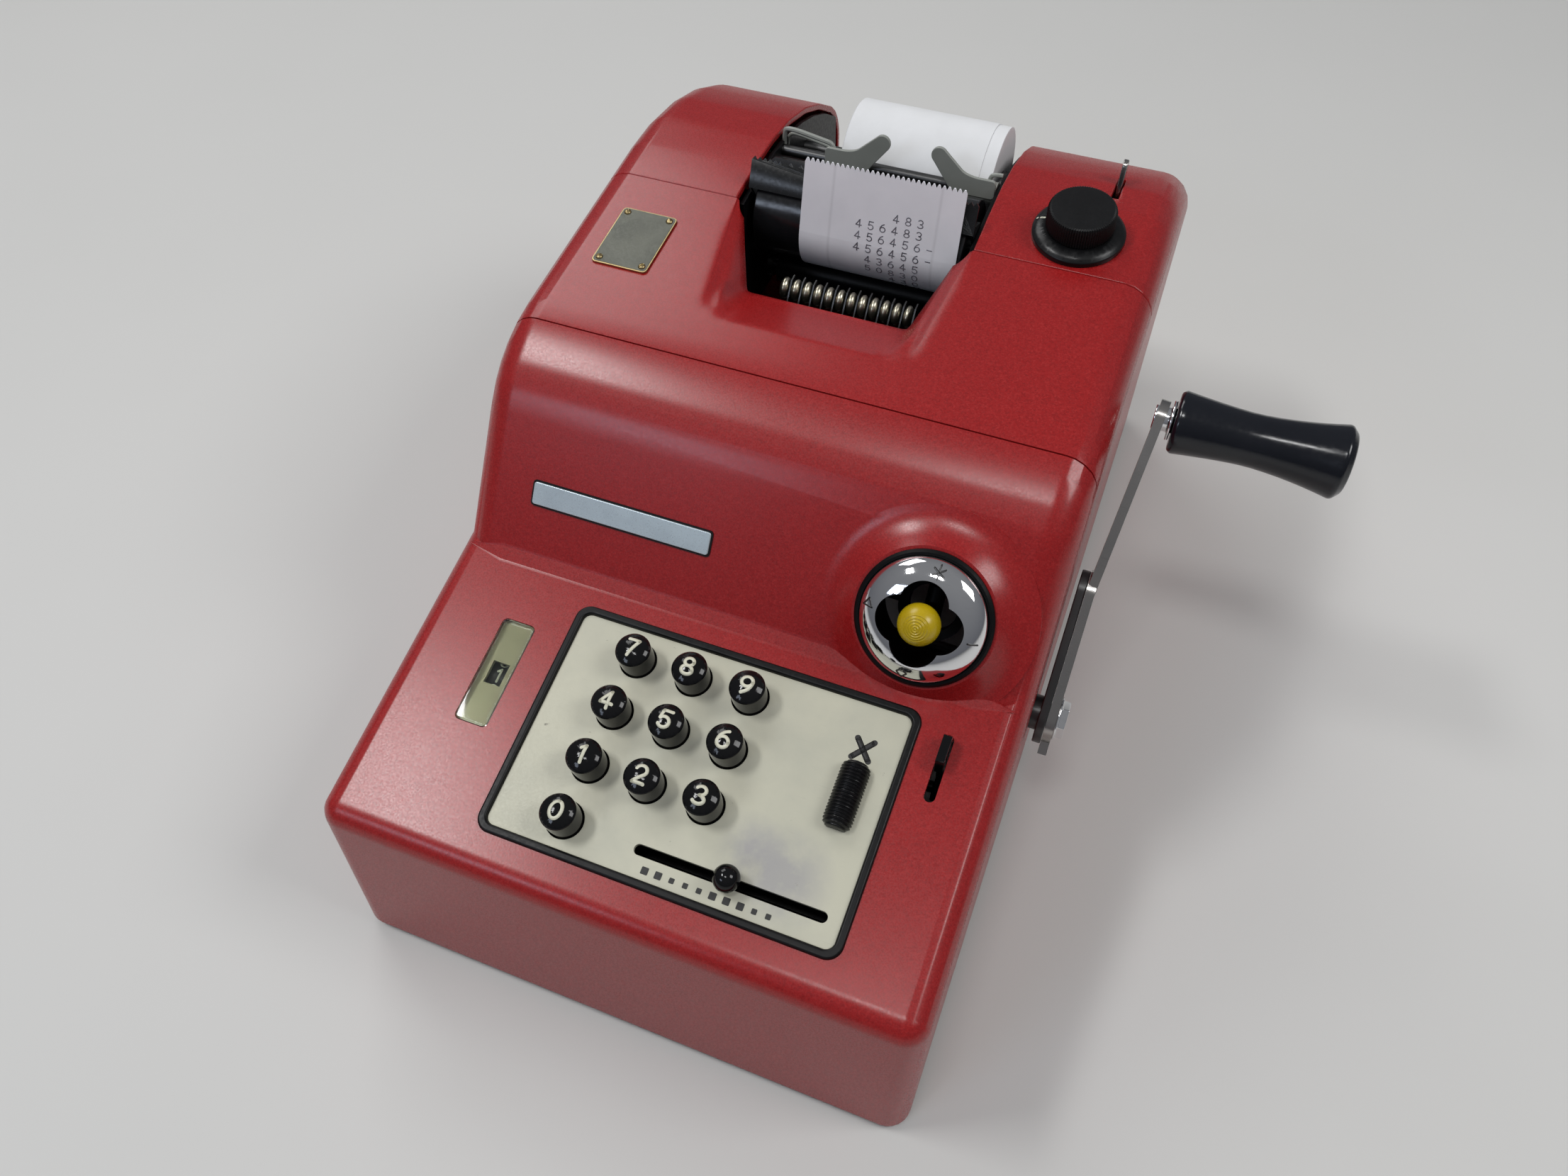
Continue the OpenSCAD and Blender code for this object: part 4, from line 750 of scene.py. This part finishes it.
# Near black: the liner's own dark lacquer, painted darker still as the shade that falls inside the well
LINING_AND_SHADE = worn_finish("well_lacquer_and_painted_shade", (0.0025, 0.0025, 0.003), (0.005, 0.005, 0.0055), (0.3, 0.45),
                     900, 0.05, Specular_IOR_Level=0.2)
SMOKED = worn_finish("smoked_bar", (0.010, 0.0105, 0.011), (0.017, 0.0175, 0.018), (0.18, 0.3),
                     900, 0.03, Specular_IOR_Level=0.35)
FINGER = worn_finish("finger_enamel", (0.285, 0.295, 0.270), (0.235, 0.245, 0.220), (0.34, 0.48),
                     900, 0.05)
CREAM = worn_finish("mask_champagne", (0.34, 0.31, 0.195), (0.31, 0.28, 0.18), (0.32, 0.46),
                    1100, 0.06, 80, Metallic=0.3)
BADGE = worn_finish("badge_grey", (0.115, 0.118, 0.092), (0.08, 0.083, 0.065), (0.38, 0.55),
                    1300, 0.06, 90, Metallic=0.15)
# Where the tape's painted crease shade lines run, in millimetres across the casing
PAPER_CREASE_SHADES = (-14.0, 24.4)
PAPER = tape_paper("tape_paper", (0.80, 0.81, 0.845), (0.74, 0.75, 0.785), PAPER_CREASE_SHADES)
ROLL_PAPER = tape_paper("roll_paper", (0.74, 0.745, 0.755), (0.69, 0.695, 0.70))
PRINT = worn_finish("tape_print", (0.10, 0.10, 0.12), (0.30, 0.30, 0.34), (0.7, 0.9),
                    1500, 0.02, 300)
LENS = clear_lens()
CHROME = plated_metal("bright_plate", (0.82, 0.82, 0.83), (0.03, 0.08), 0.3)
STEEL = plated_metal("plain_steel", (0.5, 0.5, 0.5), (0.26, 0.42), 0.6)
ARM_STEEL = plated_metal("arm_nickel", (0.44, 0.42, 0.40), (0.16, 0.28), 0.6)
DARK_STEEL = plated_metal("dark_steel", (0.1, 0.1, 0.1), (0.3, 0.45), 0.5)
BRASS = plated_metal("aged_brass", (0.36, 0.28, 0.14), (0.28, 0.42), 0.6)
NICKEL = plated_metal("hammer_nickel", (0.46, 0.43, 0.34), (0.25, 0.4), 0.5)
SILVER = worn_finish("strip_silver", (0.53, 0.61, 0.65), (0.46, 0.53, 0.57), (0.26, 0.32),
                     1400, 0.0, 90, Metallic=0.4)


# Covers, key plate and trim

SCOOP_SIDES, SCOOP_DEPTHS, SCOOP_ABOVE = (-62, 54), (178, 238.4), 146


def covers():
    """The three painted shells, shaded softly round the scoop."""
    for node in ("front_cover", "top_cover", "rear_cover"):
        shell = soften(copied(node), 0.55, 3, 40)
        if node == "top_cover":
            shade_over(shell, in_scoop)
        belongs(shell, node + "_finish", node, RED, node)


def in_scoop(point):
    """Whether a point lies on the skin round the sunken print window."""
    x, depth, height = point.x / MM + MIDDLE, point.y / MM + HALF_DEPTH, point.z / MM
    return (SCOOP_SIDES[0] < x < SCOOP_SIDES[1] and SCOOP_DEPTHS[0] < depth < SCOOP_DEPTHS[1]
            and height > SCOOP_ABOVE)


def slope_fillet():
    """The hollow fillet along the foot of the slope, which fades out towards both sides of the casing."""
    radius, half, fade, sunk, end_scale, steps = 9.0, 84.0, 13.0, 0.3, 0.04, 8
    bend = SLOPE_ANGLE - DECK_ANGLE
    reach = radius * math.tan(math.radians(bend) / 2)
    on_deck_end, on_slope_end = heading(DECK_ANGLE + 180) * reach, heading(SLOPE_ANGLE) * reach
    middle = on_deck_end + heading(DECK_ANGLE + 90) * radius
    arc = [middle + radius * heading(DECK_ANGLE - 90 + bend * i / steps) for i in range(steps + 1)]
    arc += [on_slope_end + heading(SLOPE_ANGLE - 90) * sunk, on_deck_end + heading(DECK_ANGLE - 90) * sunk]
    strip = plate([tuple(point) for point in arc], 2 * half)
    for end, shift in ((0.0, -fade), (2 * half, fade)):
        select_faces(strip, lambda face: (abs(face.center.z - end * MM) < 0.01 * MM
                                          and abs(face.normal.z) > 0.9))
        bpy.ops.mesh.extrude_region_move(TRANSFORM_OT_translate={"value": (0, 0, shift * MM)})
        bpy.ops.transform.resize(value=(end_scale, end_scale, 1), center_override=(0, 0, (end + shift) * MM))
        leave_edit()
    smooth(strip, 30)
    settle(strip, inside(-half, *SLOPE_FOOT) @ XYZ_TO_YZX)
    belongs(strip, "slope_fillet", "front_cover", RED)


covers()
slope_fillet()
dressed("keyboard_plate", PLATE, 0.15)
dressed("keyboard_trim", RUBBER, 0.8, 3)
dressed("rubber_feet", RUBBER, 0.6)
for hidden in ("base_plate", "side_frame_left", "side_frame_right", "drive_cams"):
    tinted(hidden, STEEL)
for dark in ("key_guide_plate", "pin_carriage", "selector_gimbal"):
    tinted(dark, CUP_BLACK)
for shaded in ("cross_rods", "platen_shaft", "release_shaft", "roll_spindle"):
    tinted(shaded, DARK_STEEL)
for geared in ("shaft_bushes", "platen_gear", "feed_pinion"):
    tinted(geared, BRASS)


def plate_marks():
    """The printed row of squares below the column slot and the sign above the multiplier key."""
    small, large, ink, plate_top = 1.7, 2.3, 0.06, -0.3
    first, pitch, row = 7.3, 4.45, 25.8
    for i, side in enumerate([large] * 2 + [small] * 3 + [large] * 3 + [small] * 2):
        mark = slab(side, side, ink, 0.3)
        settle(mark, on_deck(first + pitch * i, row, plate_top))
        belongs(mark, "slot_mark_%d" % i, "keyboard_plate", INK_BLACK)
    times = inked(sign("times", 7.6, 1.9), ink)
    settle(times, on_deck(56.6, 83.3, plate_top))
    belongs(times, "times_mark", "keyboard_plate", INK_BLACK)


plate_marks()


# Keys and their numerals

def keys():
    """Ten caps, the 0 in a row of its own below the others, each with its numeral on the domed top."""
    left, zero_row, across, along = -22.6, 31.884, 19.8, 18.7
    above_cap, tall, thick = 13.0, 6.5, 1.1
    spots = [(left, zero_row)]
    spots += [(left + across * (n % 3), zero_row + along * (n // 3 + 1)) for n in range(9)]
    for digit, (x, row) in enumerate(spots):
        node = "key_%d" % digit
        cap = dressed(node, KEY_BLACK, 0.3, 3)
        mark = laid_on(sign(str(digit), tall, thick), cap, on_deck(x, row, above_cap))
        belongs(mark, "numeral_%d" % digit, node, NUMERAL)


keys()


# Small controls on the deck

def multiplier_cap():
    """A barrel with fine rings and round ends, cut flat below."""
    half, radius, ring, groove, axis_lift = 10.75, 4.5, 1.06, 0.24, 0.9

    def outside(y):
        rounded_end = 1 - 0.4 * abs(y / half) ** 14
        return radius * rounded_end + groove * math.cos(2 * math.pi * y / ring)

    steps = [half * (i / 90 - 1) for i in range(181)]
    barrel = turned([(0, -half)] + [(outside(y), y) for y in steps] + [(0, half)], 40)
    settle(barrel, shifted(0, 0, axis_lift) @ Z_TO_Y)
    cut_by(barrel, block((20, 40, 10), (0, 0, -4.7)))
    smooth(barrel, 40)
    stem = soften(block((2.2, 7.0, 4.0), (0, 0, -1.4)), 0.2)
    piece = settle(joined([barrel, stem]), on_deck(56.9, 67.484))
    belongs(piece, "multiplier_thumb", "multiplier_key", SATIN_BLACK, "multiplier_key")


multiplier_cap()
dressed("column_slider", KEY_BLACK, 0.1)
dressed("mode_lever", KEY_BLACK, 0.5, 3)


# Counter window

def counter_window():
    """A clear lens over the mask, and a wheel with ten numerals below them."""
    wide, long, thick, corner, gap, sunk = 12.0, 37.5, 2.9, 1.8, 0.3, 2.3
    x, along = -66.2, 69.034
    lens = soften(slab(wide - gap, long - gap, thick, corner), 0.7, 4)
    settle(lens, on_deck(x, along, -sunk))
    belongs(lens, "indicator_lens_finish", "indicator_lens", LENS, "indicator_lens")
    dressed("indicator_mask", CREAM, 0.25)
    tinted("counter_wheel", MATT_BLACK)
    wheel_radius, wheel_depth = 9.0, 13.5
    for digit in range(10):
        mark = inked(sign(str(digit), 5.2, 0.8))
        turn = turned_by(36 * (digit - 1), "X")
        settle(mark, on_deck(x, along, -wheel_depth) @ turn @ shifted(0, 0, wheel_radius + 0.02))
        belongs(mark, "counter_digit_%d" % digit, "counter_wheel", NUMERAL)


counter_window()


# Selector

SELECTOR_X, SELECTOR_ALONG, DOME_TOP = 63.1, 22.6, 14.0


def selector_dome():
    """A bright dome round a gate with four lobes."""
    low, wide, flat, wall, middle = 6.85, 20.15, 9.18, 1.2, 4.0
    lobe, lobe_out = 7.7, 6.1
    arch = [math.radians(90 * i / 32) for i in range(33)]

    def skin(inset):
        return [(flat + (wide - inset - flat) * math.cos(a), low + (DOME_TOP - inset - low) * math.sin(a))
                for a in arch]

    rim = [(middle, DOME_TOP - wall), (middle, DOME_TOP)]
    dome = turned([(middle, DOME_TOP)] + skin(0)[::-1] + skin(wall) + rim, 144)
    for turn in (0, 90, 180, 270):
        cut_by(dome, disc(lobe, 30, (*(lobe_out * heading(turn)), 10)))
    round_over(dome, lambda point: point.z > (DOME_TOP - 2.5) * MM, 0.35, 3, 50, 120)
    smooth(dome, 40)
    settle(dome, on_slope(SELECTOR_X, SELECTOR_ALONG))
    return belongs(dome, "selector_dome_finish", "selector_dome", CHROME, "selector_dome")


def selector_knob():
    """A yellow ball with fine rings on its crown and a flat foot."""
    radius, foot, ring, groove, sunk = 6.7, 0.8, 0.84, 0.13, 1.9

    def height(r):
        return foot + math.sqrt(radius ** 2 - r ** 2) + groove * (math.cos(2 * math.pi * r / ring) - 1)

    crown = [(r, height(r)) for r in [0.07 * i for i in range(62)]]
    side = [(radius * math.cos(math.radians(a)), foot + radius * math.sin(math.radians(a)))
            for a in range(48, -1, -6)]
    knob = turned(crown + side + [(radius - 0.5, 0.0), (0, 0)], 56)
    settle(knob, on_slope(SELECTOR_X, SELECTOR_ALONG, DOME_TOP - sunk))
    belongs(knob, "selector_knob_finish", "selector_knob", YELLOW, "selector_knob")


def dome_marks(dome):
    """One small sign on the dome beyond each lobe of the gate."""
    out, line = 16.9, 0.55
    for symbol, turn, height in (("star", 90, 4.2), ("triangle", 180, 3.6), ("diamond", 270, 4.0),
                                 ("-", 0, 5.6)):
        side = out * heading(turn - 6)
        spot = on_slope(SELECTOR_X + side.x, SELECTOR_ALONG + side.y, DOME_TOP + 3)
        mark = laid_on(sign(symbol, height, line), dome, spot, 0.02)
        belongs(mark, "dome_mark_%d" % turn, "selector_dome", DARK_STEEL)


def selector():
    dressed("selector_bezel", CUP_BLACK, 0.5, 3)
    tinted("selector_stick", CUP_BLACK)
    dome = selector_dome()
    selector_knob()
    dome_marks(dome)


selector()


# Bare plates

def bare_strip():
    """The long bright strip on the slope, in a thin black border."""
    wide, tall, border_out = 64.8, 7.7, 1.3
    x, along = -75.9 + wide / 2, 20.2 + tall / 2
    border = slab(wide + border_out, tall + border_out, 0.35, 1.3)
    settle(border, on_slope(x, along))
    belongs(border, "strip_border", "name_strip", MATT_BLACK)
    strip = soften(slab(wide, tall, 0.85, 0.9), 0.3, 3)
    settle(strip, on_slope(x, along, 0.04))
    belongs(strip, "name_strip_finish", "name_strip", SILVER, "name_strip")


def bare_badge():
    """The small plate on the top cover: a brass edge, a grey face and four slotted screws."""
    wide, long, edge, inset = 21.0, 28.0, 0.9, 2.4
    middle = on_top(-84.1 + wide / 2, 194.0) @ shifted(0, long / 2, 0)
    base = soften(slab(wide, long, 0.75, 1.6), 0.2)
    settle(base, middle @ shifted(0, 0, 0.04))
    belongs(base, "badge_edge", "badge_plate", BRASS, "badge_plate")
    face = soften(slab(wide - edge, long - edge, 0.3, 1.3), 0.1)
    settle(face, middle @ shifted(0, 0, 0.6))
    belongs(face, "badge_face", "badge_plate", BADGE)
    for i, (side, end) in enumerate(((-1, -1), (1, -1), (-1, 1), (1, 1))):
        head = turned([(0, 0), (1.3, 0), (1.3, 0.15), (1.1, 0.5), (0.7, 0.72), (0, 0.82)], 24)
        cut_by(head, settle(block((3, 0.34, 0.6), (0, 0, 0.8)), Matrix.Rotation(0.7 + 0.5 * i, 4, "Z")))
        smooth(head)
        settle(head, middle @ shifted(side * (wide / 2 - inset), end * (long / 2 - inset), 0.85))
        belongs(head, "badge_screw_%d" % i, "badge_plate", BRASS)


bare_strip()
bare_badge()


# Printer: paper, platen, fingers, hammers

# Depth and height of each shaft, and the tape's width, its radius on the platen and where it leaves it
PLATEN_AT = Vector((258.049, 143.064))
ROLL_AT = (302.049, 139.064)
HAMMERS_AT = (204.049, 112.064)
FINGERS_AT = (279.049, 152.064)
PAPER_X, PAPER_WIDE, PAPER_RADIUS = 3.9, 58.0, 17.8
PAPER_LEAVE, PAPER_TOP = 165.0, 173.064


def on_paper(x, below):
    """Matrix of a spot on the front of the tape, a way down from its torn edge, with Y up along the tape."""
    start = PLATEN_AT + PAPER_RADIUS * heading(PAPER_LEAVE)
    flat = (PAPER_TOP - start.y) / heading(PAPER_LEAVE - 90).y
    angle = PAPER_LEAVE
    if below <= flat:
        point = start + heading(PAPER_LEAVE - 90) * (flat - below)
    else:
        angle += math.degrees((below - flat) / PAPER_RADIUS)
        point = PLATEN_AT + PAPER_RADIUS * heading(angle)
    up, out = heading(angle - 90), heading(angle)
    turn = Matrix(((1, 0, 0, 0), (0, up.x, out.x, 0), (0, up.y, out.y, 0), (0, 0, 0, 1)))
    return inside(x, point.x, point.y) @ turn


def torn_tape():
    """The tape with a toothed edge where it was torn off."""
    tape = smooth(copied("paper_strip"), 30)
    teeth, deep = 32, 1.25
    pitch = PAPER_WIDE / teeth
    notch = plate([(-pitch / 2, 0.6), (0, -deep), (pitch / 2, 0.6)], 3.0)
    settle(notch, shifted(0, 0, -1.5))
    ranked(notch, teeth + 1, (pitch, 0, 0))
    cut_by(tape, settle(notch, on_paper(PAPER_X - PAPER_WIDE / 2, 0.0)))
    smooth(tape, 30)
    belongs(tape, "torn_tape", "paper_strip", PAPER, "paper_strip")


def tape_rows():
    """Printed sums, each row set from the ones column to the left, with its sign on the right."""
    rows = ("483", "456483", "456456-", "456456-", "43645", "50830", "430", "470")
    ones, column, first, spacing = 18.6, 4.4, 14.6, 4.25
    type_faces = {symbol: inked(sign(symbol, 3.3, 0.36), 0.03) for symbol in "0345678-"}
    marks = []
    for i, row in enumerate(rows):
        digits = row.rstrip("-")
        places = [(symbol, k - len(digits) + 1) for k, symbol in enumerate(digits)]
        if row.endswith("-"):
            places.append(("-", 1))
        for symbol, place in places:
            mark = again(type_faces[symbol])
            spot = on_paper(ones + column * place, first + spacing * i)
            marks.append(settle(mark, spot @ shifted(0, 0, 0.03)))
    for face in type_faces.values():
        bpy.data.objects.remove(face)
    belongs(joined(marks), "tape_print", "paper_strip", PRINT)


def wound_roll():
    """A roll with faint windings on its ends and a step where the outer layer sits askew."""
    radius, core, half, turns, winding, step = 22.0, 6.1, PAPER_WIDE / 2, 24, 0.12, 0.35
    rings = [(core + (radius - core) * i / turns, half - (winding if i % 2 else 0.0)) for i in range(turns)]
    profile = [(r, -z) for r, z in rings] + [(radius - 0.4, -half), (radius, -half + 0.4)]
    profile += [(radius, half - 5.0), (radius - step, half - 4.9), (radius - step, half - 0.2)]
    profile += [(r, z) for r, z in reversed(rings)] + [(core, half), (core, -half)]
    roll = turned(profile, 72)
    settle(roll, inside(PAPER_X, *ROLL_AT) @ Z_TO_X)
    belongs(roll, "wound_roll", "paper_roll", ROLL_PAPER, "paper_roll")


def hammer_row():
    """Twelve hammers: a thin fin on each arm, a domed head beside it, and the arm's bright edge. The fins are
    painted dark as the shade on the arms' faces, and the bright edge rod is a painted highlight on the same
    metal.
    """
    count, pitch, left_shift, lean = 12, 4.2, 4.5, 45
    first = PAPER_X - left_shift - pitch * (count - 1) / 2
    foot = inside(first, *HAMMERS_AT) @ turned_by(lean, "X")
    fin = plate([(0, -2.4), (25, -2.4), (29, -3.2), (33, -2.6), (35.6, 1.2), (33.5, 3.0), (29, 2.8),
                 (25, 2.4), (0, 2.4)], 0.5)
    settle(fin, shifted(1.3, 0, 0) @ XYZ_TO_YZX)
    head = ball((1.95, 3.9, 3.3), (-0.8, 30.6, 0.6))
    hub = turned([(0, -1.6), (5, -1.6), (5, 1.6), (0, 1.6)], 24)
    settle(hub, Z_TO_X)
    edge = turned([(0, 8), (0.38, 8), (0.38, 26), (0, 26)], 8)
    settle(edge, shifted(1.55, 0, 2.45) @ Z_TO_Y)
    for piece in (fin, head, hub, edge):
        ranked(piece, count, (pitch, 0, 0))
        settle(piece, foot)
    # Fins in dark steel as painted shade, and the edge rods in bright steel as a painted highlight
    belongs(fin, "hammer_fins_painted_shade", "type_hammers", DARK_STEEL, "type_hammers")
    belongs(head, "hammer_heads", "type_hammers", NICKEL)
    belongs(hub, "hammer_hubs", "type_hammers", STEEL)
    belongs(edge, "hammer_edge_highlights", "type_hammers", ARM_STEEL)


def paper_finger(node, x, side):
    """A forked finger of bent sheet with round tips, on an eye that turns on its rod."""
    width, thick, lean, eye, bore = 16.0, 1.4, 84.0, 4.0, 2.05
    outline = [(0, 0), (1, 0), (1.13, 0.19), (1.56, 0.75), (1.5, 0.94), (1.31, 1), (0.75, 0.5), (0.5, 0.44),
               (0, 0.44)]
    sheet = plate([(side * width * u, width * v) for u, v in outline], thick, 1.45, 5)
    soften(sheet, 0.3, 3)
    settle(sheet, inside(x, FINGERS_AT[0] - eye + 1, FINGERS_AT[1]) @ turned_by(lean, "X"))
    tube = turned([(bore, 0), (eye, 0), (eye, width), (bore, width), (bore, 0)], 40)
    settle(tube, inside(x if side > 0 else x - width, *FINGERS_AT) @ Z_TO_X)
    belongs(joined([sheet, tube]), node + "_finish", node, FINGER, node)


def wire_brackets():
    """Bent straps that hold the fingers' rod at both ends of the well."""
    upper = bent_wire([(-46.5, 281, 149), (-46.5, 281, 158), (-45, 281, 160.5), (-30, 279.5, 159),
                       (-25.6, 279, 158.5), (-25.6, 279, 152.5)], 0.9)
    lower = bent_wire([(-46.5, 284.5, 151), (-46.3, 284.5, 156), (-40, 284, 156.5), (-27, 283, 154)], 0.7)
    belongs(joined([upper, lower]), "left_strap", "well_liner", FINGER)
    right = bent_wire([(32.5, 281, 153), (33, 281, 157), (34.5, 281, 158.5), (37.6, 281, 158.5)], 0.8)
    belongs(right, "right_strap", "well_liner", FINGER)


def printer():
    # The liner's near-black finish is partly painted shade of the well
    dressed("well_liner", LINING_AND_SHADE, 0.2)
    dressed("tear_bar", SMOKED, 0.08)
    dressed("platen", PLATEN, 0.5)
    tinted("pressure_roller", RUBBER)
    dressed("release_lever", ARM_STEEL, 0.3)
    torn_tape()
    tape_rows()
    wound_roll()
    paper_finger("paper_finger_left", -28.1, 1)
    paper_finger("paper_finger_right", 36.5, -1)
    hammer_row()
    wire_brackets()


printer()


# Feed knob on its collar

def feed_knob():
    """A knurled knob with a rounded shoulder, and the mark on its collar."""
    x, depth = 70.4, 256.5
    collar = dressed("knob_flange", SATIN_BLACK, 0.3, 3)
    teeth, tip, root, tall = 84, 11.5, 11.1, 6.3
    outline = [tuple((tip if i % 2 else root) * heading(180 * i / teeth)) for i in range(2 * teeth)]
    knob = plate(outline, tall)
    select_faces(knob, lambda face: face.center.z > (tall - 0.1) * MM)
    for rise, share in ((0.7, 0.965), (0.35, 0.95)):
        bpy.ops.mesh.extrude_region_move(TRANSFORM_OT_translate={"value": (0, 0, rise * MM)})
        bpy.ops.transform.resize(value=(share, share, 1))
    leave_edit()
    smooth(knob, 25)
    shaft = turned([(0, -14.5), (2.4, -14.5), (2.4, 0.5), (0, 0.5)], 24)
    piece = settle(joined([knob, shaft]), on_top(x, depth, 4.4))
    belongs(piece, "feed_knob_finish", "feed_knob", MATT_BLACK, "feed_knob")
    mark = laid_on(brushed([[(-12.2, 0.6), (-14.6, 0.9)]], 0.8), collar, on_top(x, depth, 8), 0.02)
    belongs(mark, "collar_mark", "knob_flange", NUMERAL)


feed_knob()


# Crank

def crank():
    tinted("main_shaft", DARK_STEEL)
    for node, metal in (("crank_plate", DARK_STEEL), ("crank_arm", ARM_STEEL), ("crank_nut", CHROME),
                        ("grip_pin", CHROME)):
        dressed(node, metal, 0.4, 3)
    dressed("crank_grip", GRIP, 0.8, 4, 40)


crank()


# Floor, light and camera, all in metres

LAMP_AIM = Vector((0, 0, 0.1))


def pale_floor():
    material, tree, shader = blank("pale_floor", Roughness=0.6, Specular_IOR_Level=0.2)
    cloud = add_effect(tree, "patches", Scale=2.0, Low=0.3, High=0.8)
    tree.links.new(blend_colour(tree, cloud, (0.64, 0.635, 0.615), (0.61, 0.605, 0.585)),
                   shader.inputs["Base Color"])
    start_clear()
    bpy.ops.mesh.primitive_plane_add(size=6.0, location=(0, 0, 0))
    floor = bpy.context.object
    floor.name = "floor"
    paint(floor, material)


def soft_lamp(name, at, size, power, tone=(1, 1, 1)):
    lamp = bpy.data.lights.new(name, "AREA")
    lamp.color = tone
    lamp.shape = "RECTANGLE"
    lamp.size, lamp.size_y = size
    lamp.energy = power
    holder = bpy.data.objects.new(name, lamp)
    bpy.context.scene.collection.objects.link(holder)
    holder.location = at
    holder.rotation_euler = (LAMP_AIM - Vector(at)).to_track_quat("-Z", "Y").to_euler()


def studio():
    """A dim room, darker towards the floor, with soft panels overhead and a cool window in front."""
    world = bpy.data.worlds.new("studio")
    bpy.context.scene.world = world
    world.use_nodes = True
    tree = world.node_tree
    sky = tree.nodes["Background"]
    where = tree.nodes.new("ShaderNodeTexCoord")
    split = tree.nodes.new("ShaderNodeSeparateXYZ")
    tree.links.new(where.outputs["Generated"], split.inputs["Vector"])
    rise = map_range(tree, split.outputs["Z"], -0.1, 0.9)
    tree.links.new(blend_colour(tree, rise, (0.11, 0.115, 0.13), (0.22, 0.225, 0.235)), sky.inputs["Color"])
    soft_lamp("panel_left", (-0.84, -0.28, 1.5), (0.46, 0.20), 8)
    soft_lamp("panel_middle", (-0.02, -0.46, 1.5), (0.32, 0.16), 3)
    soft_lamp("panel_rear", (-1.1, 0.9, 1.4), (0.9, 0.7), 8)
    soft_lamp("panel_right", (0.9, 0.1, 1.1), (0.5, 0.5), 6)
    soft_lamp("window", (-0.72, -1.25, 1.05), (0.5, 0.3), 2.5, (0.72, 0.82, 1.0))


def photo_camera():
    camera = bpy.data.cameras.new("camera")
    camera.lens = 27.64
    camera.sensor_width = 36.0
    camera.clip_start = 0.01
    holder = bpy.data.objects.new("camera", camera)
    bpy.context.scene.collection.objects.link(holder)
    place = (0.0726, -0.2687, 0.4163)
    right = Vector((0.9300, 0.3669, -0.0221))
    up = -Vector((0.2815, -0.7498, -0.5988))
    back = -Vector((-0.2363, 0.5507, -0.8006))
    turn = Matrix((right, up, back)).transposed().to_4x4()
    holder.matrix_world = Matrix.Translation(place) @ turn
    bpy.context.scene.camera = holder


pale_floor()
studio()
photo_camera()
bpy.context.scene.view_settings.view_transform = "Standard"
